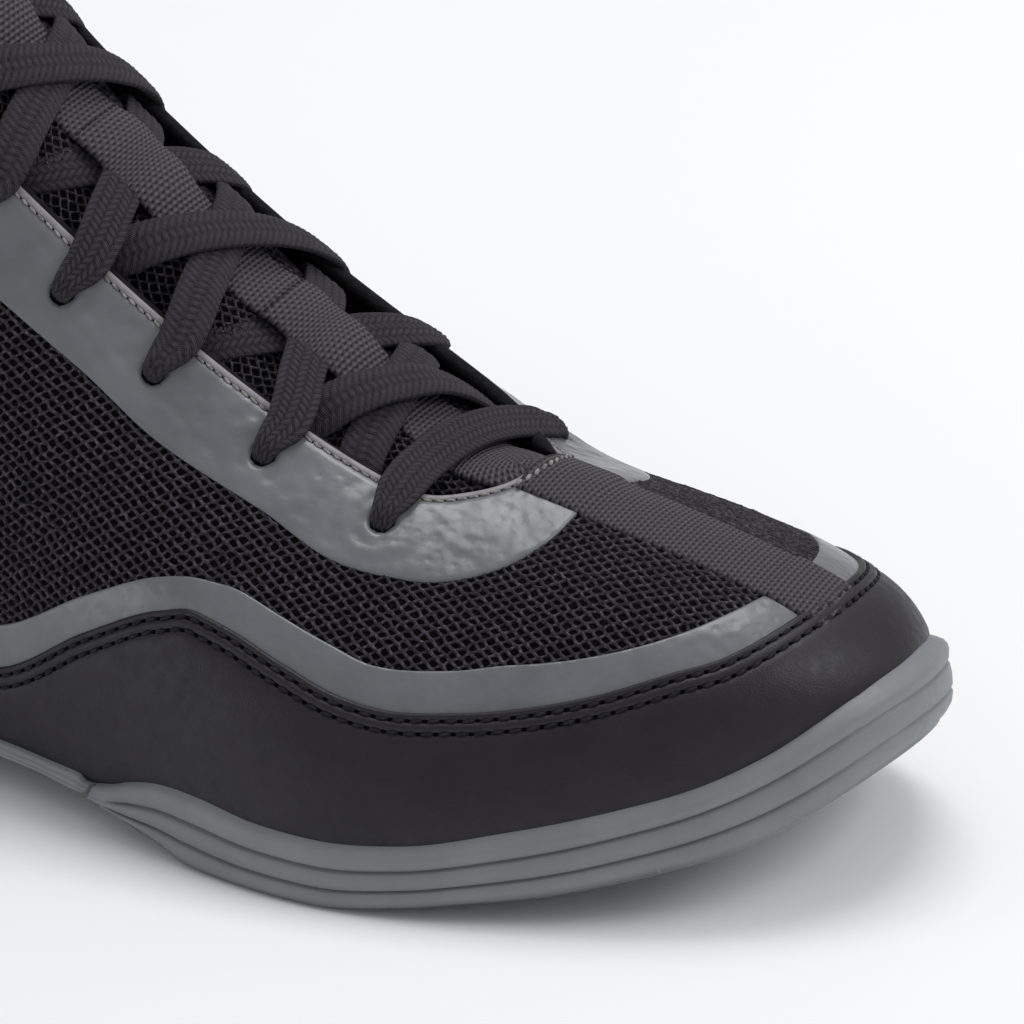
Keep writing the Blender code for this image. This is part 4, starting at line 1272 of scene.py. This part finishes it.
def lace_routes():
    """The lace in two lengths: the bar with one side's, and the other side's."""
    last = len(LACED) - 1
    one, two = [], []
    for row in range(last):
        side_one = -1 if row % 2 == 0 else 1
        one += crossing(row, side_one, False)
        two += crossing(row, -side_one, True)
    for points, side in ((one, 1 if last % 2 else -1), (two, -1 if last % 2 else 1)):
        run = LACED[last][1 if side > 0 else 0]
        for away, lift, half in ((7.6, -0.4, 1.8), (7.5, 0.7, 1.85), (7.0, 1.5, 1.9)):
            p, n = inset(run, away, side)
            points.append(((p + n * lift)[0], edge_way(run, side)[0], half, 1.2, True))
    bar = []
    runs = np.array(LACED[0])
    rise = ((7.8, -2.2, 1.8, 1.2),) + RISE_OUT
    for away, lift, half, thin in rise:
        p, n = inset(runs[0], away, -1)
        bar.append(((p + n * lift)[0], edge_way(runs[0], -1)[0], half, thin, True))
    for share in (-0.8, -0.5, -0.2, 0.1, 0.4, 0.7, 0.93):
        p = arch(runs[:1], runs[1:], share, np.interp(share, (-1.0, -0.7, -0.4, -0.15, 0.3, 0.6, 1.0), (LACE_ON, 0.3, -0.25, -0.05, 0.0, 0.1, 1.0)))
        way = unit(edge_way(runs[0], -1) * (0.5 - 0.5 * share) + edge_way(runs[1], 1) * (0.5 + 0.5 * share))
        bar.append((p[0], way[0], LACE_HALF, LACE_THIN, True))
    for away, lift, half, thin in rise[::-1]:
        p, n = inset(runs[1], away, 1)
        bar.append(((p + n * lift)[0], edge_way(runs[1], 1)[0], half, thin, True))
    return one[::-1] + bar, bar[-2:] + two


def catmull(values, knots, at):
    """Cubic through values at knots, with slopes from the neighbours."""
    slope = np.gradient(values, knots, axis=0)
    i = np.clip(np.searchsorted(knots, at, side="right") - 1, 0, len(knots) - 2)
    h = (knots[i + 1] - knots[i])[:, None]
    s = ((at - knots[i]) / h[:, 0])[:, None]
    return (values[i] * (1 + 2 * s) * (1 - s) ** 2 + slope[i] * h * s * (1 - s) ** 2
            + values[i + 1] * s * s * (3 - 2 * s) + slope[i + 1] * h * s * s * (s - 1))


BRAID_PITCH = 1.25
BRAID_COLUMNS = 5
FACE, BACK = np.linspace(-0.93, 0.93, 27), np.linspace(0.93, -0.93, 9)
LACE_RING = np.concatenate([np.stack([FACE, np.sqrt(1 - np.abs(FACE) ** 2.8)], 1), [(0.985, 0.38), (1.0, 0.0), (0.985, -0.38)],
                            np.stack([BACK, -np.sqrt(1 - np.abs(BACK) ** 2.8)], 1), [(-0.985, -0.38), (-1.0, 0.0), (-0.985, 0.38)]])


def braid(along, across):
    """Height of the plait and its beat at places along the lace and across its face (-1 to 1)."""
    col = (across + 1) * 0.5 * BRAID_COLUMNS
    k = np.floor(col)
    inside = col - k
    lean = np.where(k % 2 == 0, 1.0, -1.0)
    beat = along / BRAID_PITCH + 0.5 * (k % 2) + lean * (inside - 0.5) * 0.9
    ridge = np.abs(np.sin(np.pi * beat)) ** 0.75
    return ridge * (0.25 + 0.75 * np.sin(np.pi * np.clip(inside, 0, 1)) ** 0.55), beat


def lace_length(name, route, names):
    place = np.array([r[0] for r in route])
    way = np.array([r[1] for r in route])
    size = np.array([(r[2], r[3], 1.0 if r[4] else 0.0) for r in route])
    knots = np.concatenate([[0], np.cumsum(np.linalg.norm(np.diff(place, axis=0), axis=1) ** 0.75 + 0.02)])
    fine = np.linspace(0, knots[-1], 9000)
    path = catmull(place, knots, fine)
    gone = np.concatenate([[0], np.cumsum(np.linalg.norm(np.diff(path, axis=0), axis=1))])
    seen = np.interp(fine, knots, size[:, 2])
    weight = np.concatenate([[0], np.cumsum(np.diff(gone) / np.where(seen[1:] > 0.3, 0.30, 1.6))])
    count = int(weight[-1])
    at = np.interp(np.arange(count) * weight[-1] / (count - 1), weight, fine)
    path = catmull(place, knots, at)
    along = np.interp(at, fine, gone)
    ahead = unit(catmull(place, knots, at + 0.02) - catmull(place, knots, at - 0.02))
    wide = catmull(way, knots, at)
    wide = unit(wide - (wide * ahead).sum(1)[:, None] * ahead)
    up = np.cross(ahead, wide)
    half = np.interp(at, knots, size[:, 0])
    thin = np.interp(at, knots, size[:, 1])
    x, y = LACE_RING[:, 0], LACE_RING[:, 1]
    plait, beat = braid(along[:, None], np.clip(x, -0.999, 0.999)[None, :])
    face = np.abs(y)[None, :] ** 0.4
    px = x[None, :] * half[:, None] + np.sign(x)[None, :] * 0.20 * (1 - face) * (plait - 0.5)
    py = y[None, :] * thin[:, None] + np.sign(y)[None, :] * (0.28 * plait - 0.14) * face * np.minimum(1.0, half / 2.4)[:, None]
    grid = path[:, None] + px[..., None] * wide[:, None] + py[..., None] * up[:, None]
    rows, sides = grid.shape[:2]
    faces = [quads(rows, sides, loop_cols=True)]
    c = np.arange(sides)
    c2, last = (c + 1) % sides, (rows - 1) * sides
    faces.append(np.stack([c2, c, np.full(sides, rows * sides), np.full(sides, rows * sides)], 1))
    faces.append(np.stack([last + c, last + c2, np.full(sides, rows * sides + 1), np.full(sides, rows * sides + 1)], 1))
    points = np.concatenate([grid.reshape(-1, 3), grid[[0, -1]].mean(1)])
    # plait height, which the yarn's colour ramp turns into painted shade between the plaits
    mark = np.stack([plait, np.broadcast_to(beat, plait.shape) * 3.5], -1).reshape(-1, 2)
    mark = np.concatenate([mark, [(0.2, 0.0)] * 2])
    faces = outward(points, np.concatenate(faces))
    return put(name, points, faces, YARN, mark=mark, stands_for=names)


def make_lace():
    one, two = lace_routes()
    lace_length("lace_first_side", one, ["lace_bar"] + ["lace_cross_%d" % k for k in (1, 3, 5, 7)])
    lace_length("lace_second_side", two, ["lace_cross_%d" % k for k in (2, 4, 6)])


# ---------------------------------------------------------------- seams
def row_of(name, u, t, high, pitch, long, wide, up, mat, turn=0.0, hole_shade=None):
    """A row of stitches along a line of the upper, with black beads between them as painted shade of needle holes."""
    place, ahead, index = spaced(skin(u, t, high), pitch)
    near = index.round().astype(int)
    normal = normal_at(u[near], np.minimum(t[near], 0.999))
    stitches(name, place, ahead, normal, long, wide, up, mat, turn=turn)
    if hole_shade:
        # black beads between the stitches: painted shade of the needle holes
        between = 0.5 * (place[1:] + place[:-1])
        stitches(name + "_hole_shade", between, ahead[1:], normal[1:], hole_shade[0], hole_shade[1], hole_shade[2], NEEDLE_HOLE_SHADE)


def make_seams():
    loop = loop_u(900)
    top = mudguard_top(loop)
    for name, away, high in (("mudguard_seam_upper", 1.3, 1.02), ("mudguard_seam_lower", 3.22, 1.08)):
        u, t = beside(loop, top, away, True)
        row_of(name, u, t, high, 2.75, 2.05, 0.74, 0.36, BLACK_THREAD, turn=0.08, hole_shade=(0.95, 0.72, 0.15))
    for side, word in ((-1, "lateral"), (1, "medial")):
        run = np.linspace(4.5, EDGE_RUN[-1] - 3.0, 700)
        u, t = inset_ut(run, 1.28, side)
        row_of("throat_seam_" + word, u, t, 0.46, 1.8, 1.58, 0.50, 0.28, PALE_THREAD, turn=0.16 * side, hole_shade=(0.32, 0.26, 0.08))
    # across the webbing at the front of the throat
    u = np.linspace(-0.026, 0.031, 64)
    row_of("webbing_seam", u, np.full(len(u), 0.986), 1.24, 1.95, 1.7, 0.68, 0.40, PALE_THREAD, turn=0.35)
    # bars that hold the webbing to the tongue
    spots, ways, ups = [], [], []
    for run in TAPE_BARS:
        s = run_to_s(run)
        w = np.linspace(-5.2, 5.2, 8)
        p, n = tongue_at(np.full(len(w), s), w, 0.68 + tape_height(np.full(len(w), s)) * (1 - 0.22 * (w / tape_half(s)) ** 2))
        spots.append(p)
        ways.append(np.gradient(p, axis=0))
        ups.append(n)
    stitches("webbing_bars", np.concatenate(spots), np.concatenate(ways), np.concatenate(ups), 1.35, 0.5, 0.22, BLACK_THREAD)
    # collar binding seam
    u = np.linspace(EYESTAY_END - 0.01, 1 - EYESTAY_END + 0.01, 500)
    u, t = settle(u.copy(), np.ones(len(u)), upper_at(u, np.ones(len(u))) - np.array([0, 0, 4.6]))
    row_of("collar_seam", u, t, 0.66, 3.0, 2.3, 0.55, 0.28, BLACK_THREAD)


# ---------------------------------------------------------------- open net over the cloth
NET_LONG, NET_ACROSS, NET_KNOT = 2.62, 1.74, 0.34


def flatten(points, tris, start, rounds=80):
    """Lay a curved sheet flat with its lengths kept as well as they can be."""
    p = points[tris]
    e1, e2 = p[:, 1] - p[:, 0], p[:, 2] - p[:, 0]
    long = np.linalg.norm(e1, axis=1)
    x2 = (e1 * e2).sum(1) / long
    y2 = np.linalg.norm(np.cross(e1, e2), axis=1) / long
    flip = np.sign(np.cross(start[tris[:, 1]] - start[tris[:, 0]], start[tris[:, 2]] - start[tris[:, 0]]))
    rest = np.zeros((len(tris), 3, 2))
    rest[:, 1, 0], rest[:, 2, 0], rest[:, 2, 1] = long, x2, y2 * np.where(flip == 0, 1, flip)
    count = len(points)
    left = np.zeros((count, count))
    pull = []
    for k in range(3):
        i, j, o = k, (k + 1) % 3, (k + 2) % 3
        a, b = rest[:, i] - rest[:, o], rest[:, j] - rest[:, o]
        cot = (a * b).sum(1) / np.maximum(np.abs(a[:, 0] * b[:, 1] - a[:, 1] * b[:, 0]), 1e-9)
        cot = np.clip(cot, 0.02, 20.0)
        pull.append((i, j, cot))
        np.add.at(left, (tris[:, i], tris[:, i]), cot)
        np.add.at(left, (tris[:, j], tris[:, j]), cot)
        np.add.at(left, (tris[:, i], tris[:, j]), -cot)
        np.add.at(left, (tris[:, j], tris[:, i]), -cot)
    left[0, 0] += 1.0
    solve = np.linalg.inv(left)
    flat = start.copy()
    for _ in range(rounds):
        a = b = 0.0
        for i, j, cot in pull:
            now, was = flat[tris[:, i]] - flat[tris[:, j]], rest[:, i] - rest[:, j]
            a = a + cot * (now * was).sum(1)
            b = b + cot * (now[:, 1] * was[:, 0] - now[:, 0] * was[:, 1])
        size = np.maximum(np.hypot(a, b), 1e-12)
        a, b = a / size, b / size
        right = np.zeros((count, 2))
        for i, j, cot in pull:
            was = rest[:, i] - rest[:, j]
            push = cot[:, None] * np.stack([a * was[:, 0] - b * was[:, 1], b * was[:, 0] + a * was[:, 1]], 1)
            np.add.at(right, tris[:, i], push)
            np.add.at(right, tris[:, j], -push)
        right[0] += flat[0]
        flat = solve @ right
    return flat


def knots_over(low, high):
    """Net of knots over a flat rectangle: the two ends of each knot, numbered by row and column."""
    step_a = np.array([NET_LONG / 2, NET_ACROSS / 2])
    step_b = np.array([NET_LONG / 2, -NET_ACROSS / 2])
    reach = int(max(high - low) / min(NET_LONG, NET_ACROSS)) + 3
    i, j = np.meshgrid(np.arange(-2 * reach, 2 * reach), np.arange(-2 * reach, 2 * reach), indexing="ij")
    i, j = i.ravel(), j.ravel()
    centre = low + i[:, None] * step_a + j[:, None] * step_b
    keep = ((centre > low - 3) & (centre < high + 3)).all(1)
    return i[keep], j[keep], centre[keep]


def strands(name, node_a, node_b, normal, mat, wide, high, fine):
    """Thin rounded strands between pairs of places, as one piece: plain (0), rounded (1), or rounded and drawn in (2)."""
    way = unit(node_b - node_a)
    side = unit(np.cross(normal, way))
    wide, high = (np.broadcast_to(v, (len(node_a),))[:, None] for v in (wide, high))
    points, faces, count = [], [], 0
    tent, dome = ((-0.5, 0), (0.0, 1), (0.5, 0)), ((-0.5, 0), (-0.26, 1), (0.26, 1), (0.5, 0))
    for kind, places, profile in ((0, ((0.0, 1.0), (1.0, 1.0)), tent), (1, ((0.0, 1.12), (1.0, 1.12)), dome),
                                  (2, ((0.0, 1.12), (0.5, 0.80), (1.0, 1.12)), dome)):
        k = np.flatnonzero(fine == kind)
        if len(k) == 0:
            continue
        rows = []
        for at, fat in places:
            place = node_a[k] * (1 - at) + node_b[k] * at + way[k] * (0.24 * (at - 0.5))
            for x, y in profile:
                rows.append(place + side[k] * (x * fat * wide[k]) + normal[k] * (high[k] if y else -0.12))
        points.append(np.stack(rows, 1).reshape(-1, 3))
        one = quads(len(places), len(profile))
        faces.append((one[None] + (count + np.arange(len(k)) * len(rows))[:, None, None]).reshape(-1, 4))
        count += len(k) * len(rows)
    return put(name, np.concatenate(points), np.concatenate(faces), mat)


def net_between(i, j, ok):
    """Index pairs of strands: across each knot, and from its far end to the next two knots."""
    where_is = {(a, b): k for k, (a, b) in enumerate(zip(i.tolist(), j.tolist())) if ok[k]}
    across, onward = [], []
    for (a, b), k in where_is.items():
        across.append(k)
        for kind, step in enumerate(((a + 1, b), (a, b + 1))):
            other = where_is.get(step)
            if other is not None:
                onward.append((k, other, kind))
    return np.array(across), np.array(onward)


def make_side_net(side):
    cols, rows = 74, 17
    u = np.linspace(0.0, 0.5, cols)
    low = film_top(u) - 0.02
    high = np.where(u < EYESTAY_END, np.minimum(eyestay_low(u) + 0.016, 1.0), 1.0)
    high = np.minimum(high, 0.965 + 0.035 * (u < 0.36))
    v = np.linspace(0, 1, rows)
    uu = np.repeat(u[:, None], rows, 1)
    tt = low[:, None] + (high - low)[:, None] * v[None, :]
    real_u = uu if side < 0 else 1 - uu
    points = upper_at(real_u.ravel(), tt.ravel())
    tris = quads(cols, rows)
    tris = np.concatenate([tris[:, [0, 1, 2]], tris[:, [0, 2, 3]]])
    start = points[:, [0, 2]].copy()
    start[:, 1] += 0.25 * np.abs(points[:, 1])
    start[:, 1] *= 1.0
    flat = flatten(points, tris, points[:, [0, 2]] + np.stack([np.zeros(len(points)), -0.35 * np.abs(points[:, 1])], 1))
    i, j, centre = knots_over(flat.min(0), flat.max(0))
    jitter = SEED.normal(0.0, 0.10, centre.shape)
    ends = [centre + jitter + np.array([-NET_KNOT / 2, 0.0]), centre + jitter + np.array([NET_KNOT / 2, 0.0])]
    place = np.concatenate(ends)
    found = np.full((len(place), 2), np.nan)
    src = np.stack([uu.ravel(), tt.ravel()], 1)
    order = np.argsort(place[:, 0])
    sorted_x = place[order, 0]
    for tri in tris:
        a, b, c = flat[tri]
        lo, hi = np.minimum(np.minimum(a, b), c), np.maximum(np.maximum(a, b), c)
        first, last = np.searchsorted(sorted_x, (lo[0], hi[0]))
        near = order[first:last]
        near = near[(place[near, 1] >= lo[1]) & (place[near, 1] <= hi[1])]
        if len(near) == 0:
            continue
        det = (b[0] - a[0]) * (c[1] - a[1]) - (b[1] - a[1]) * (c[0] - a[0])
        d = place[near] - a
        p = (d[:, 0] * (c[1] - a[1]) - d[:, 1] * (c[0] - a[0])) / det
        q = (d[:, 1] * (b[0] - a[0]) - d[:, 0] * (b[1] - a[1])) / det
        hit = (p >= -1e-6) & (q >= -1e-6) & (p + q <= 1 + 1e-6)
        found[near[hit]] = src[tri[0]] + p[hit, None] * (src[tri[1]] - src[tri[0]]) + q[hit, None] * (src[tri[2]] - src[tri[0]])
    half = len(centre)
    ok = ~np.isnan(found[:half, 0]) & ~np.isnan(found[half:, 0])
    across, onward = net_between(i, j, ok)
    fu = found[:, 0] if side < 0 else 1 - found[:, 0]
    safe = np.where(np.isnan(found[:, 0]), 0.1, fu)
    ft = np.where(np.isnan(found[:, 1]), 0.5, found[:, 1])
    where3 = skin(safe, ft, 0.0)
    normal = normal_at(safe, ft)
    lines = np.concatenate([CREASE_LINES[k][0] for k in ((0, 4) if side < 0 else (1, 5))])
    gap = np.full(len(where3), 99.0)
    near = np.flatnonzero(((where3 > lines.min(0) - 6) & (where3 < lines.max(0) + 6)).all(1))
    gap[near] = np.linalg.norm(where3[near, None] - lines[None], axis=2).min(1)
    press = np.exp(-(gap / 2.2) ** 2)
    where3 = where3 + normal * (SEED.normal(0.0, 0.05, len(where3)) - 0.04 * press)[:, None]
    a = np.concatenate([where3[across], where3[half + onward[:, 0]]])
    b = np.concatenate([where3[half + across], where3[onward[:, 1]]])
    n = np.concatenate([normal[across], normal[onward[:, 1]]])
    pressed = np.concatenate([press[across], press[onward[:, 1]]])
    wide = np.concatenate([np.full(len(across), 0.74), np.where(onward[:, 2] == 1, 0.74, 0.56)]) * (1 + 0.15 * pressed)
    high = np.concatenate([np.full(len(across), 0.36), np.where(onward[:, 2] == 1, 0.38, 0.30)]) * (1 - 0.30 * pressed)
    word = "lateral" if side < 0 else "medial"
    near = a[:, 0] > (122.0 if side < 0 else 222.0)
    kind = np.where(near, np.where(np.arange(len(a)) < len(across), 1, 2), 0)
    return strands("net_" + word, a, b, n, NET, wide, high, kind)


def make_tongue_net():
    mid = TONGUE.shape[1] // 2
    low = np.array([0.0, -24.0])
    high = np.array([TONGUE_S[-4, mid], 24.0])
    i, j, centre = knots_over(low, high)
    centre = centre + SEED.normal(0.0, 0.08, centre.shape)
    ok = (centre[:, 0] > 1.0) & (centre[:, 0] < high[0] - 1.5) & (np.abs(centre[:, 1]) < 21.5)
    a, na = tongue_at(centre[:, 0] - NET_KNOT / 2, centre[:, 1], 0.0)
    b, nb = tongue_at(centre[:, 0] + NET_KNOT / 2, centre[:, 1], 0.0)
    across, onward = net_between(i, j, ok)
    start = np.concatenate([a[across], b[onward[:, 0]]])
    end = np.concatenate([b[across], a[onward[:, 1]]])
    n = np.concatenate([na[across], na[onward[:, 1]]])
    kind = np.where(start[:, 0] > 130.0, np.where(np.arange(len(start)) < len(across), 1, 2), 0)
    return strands("net_tongue", start, end, n, NET, 0.52, 0.42, kind)


# ---------------------------------------------------------------- floor, light and camera
def make_stage():
    mesh = bpy.data.meshes.new("floor")
    wide = 4.0
    mesh.from_pydata([(-wide, -wide, 0), (wide, -wide, 0), (wide, wide, 0), (-wide, wide, 0)], [], [(0, 1, 2, 3)])
    floor = bpy.data.objects.new("floor", mesh)
    floor.location.z = -0.0002
    bpy.context.scene.collection.objects.link(floor)
    mat = principled("floor_pale", (0.93, 0.935, 0.945), 0.85, level=0.1)
    to_shader(mat, "Roughness", spread(mat, noise(mat, where(mat), 3.0), 0.0, 1.0, 0.84, 0.88))
    mesh.materials.append(mat)


def make_lights():
    world = bpy.data.worlds.new("studio")
    bpy.context.scene.world = world
    world.use_nodes = True
    back = world.node_tree.nodes["Background"]
    back.inputs["Color"].default_value = (0.97, 0.98, 1.0, 1.0)
    back.inputs["Strength"].default_value = 0.47

    def softbox(name, place, aim, size, power):
        lamp = bpy.data.lights.new(name, "AREA")
        lamp.shape = "RECTANGLE"
        lamp.size, lamp.size_y = size
        lamp.energy = power
        obj = bpy.data.objects.new(name, lamp)
        bpy.context.scene.collection.objects.link(obj)
        way = np.array(aim) - np.array(place)
        obj.location = place
        obj.rotation_euler = mathutils.Vector(way).to_track_quat("-Z", "Y").to_euler()

    softbox("key_box", (-0.05, 0.50, 1.5), (0.0, 0.05, 0.0), (0.88, 0.62), 10.0)
    softbox("left_box", (-1.3, -1.1, 0.32), (0.0, 0.0, 0.05), (1.0, 0.5), 2.7)
    softbox("right_box", (1.05, 0.26, 0.95), (0.1, 0.0, 0.02), (0.8, 0.6), 6.2)


# the photograph's viewpoint: azimuth, elevation, distance and the point in line with the frame's middle
VIEW_AZ, VIEW_EL, VIEW_FAR = 29.155, 23.096, 1300.0
VIEW_AT = (215.0, 0.0, 35.0)
VIEW_F = 8327.3
VIEW_SHIFT = (517.66, 583.59)


def make_camera():
    a, e = math.radians(VIEW_AZ), math.radians(VIEW_EL)
    back = np.array([math.sin(a) * math.cos(e), -math.cos(a) * math.cos(e), math.sin(e)])
    right = np.array([math.cos(a), math.sin(a), 0.0])
    up = np.cross(back, right)
    eye = (np.array(VIEW_AT) - CENTRE + back * VIEW_FAR) * MM
    way = -back + right * (512 - VIEW_SHIFT[0]) / VIEW_F + up * (VIEW_SHIFT[1] - 512) / VIEW_F
    data = bpy.data.cameras.new("camera")
    data.sensor_fit = "HORIZONTAL"
    data.sensor_width = 36.0
    data.lens = 36.0 * VIEW_F / 1024
    data.clip_start, data.clip_end = 0.05, 50.0
    cam = bpy.data.objects.new("camera", data)
    bpy.context.scene.collection.objects.link(cam)
    cam.location = eye
    cam.rotation_euler = mathutils.Vector(way).to_track_quat("-Z", "Y").to_euler()
    bpy.context.scene.camera = cam


make_camera()
make_stage()
make_lights()
bpy.context.scene.view_settings.view_transform = "Standard"
make_body()
make_sole()
make_footbed()
make_mudguard()
make_film_band()
make_eyestay()
make_binding()
make_back_seam()
make_throat_roll()
make_tongue()
make_tongue_tape()
make_vamp_tape()
make_lace()
make_seams()
make_side_net(-1)
make_side_net(1)
make_tongue_net()
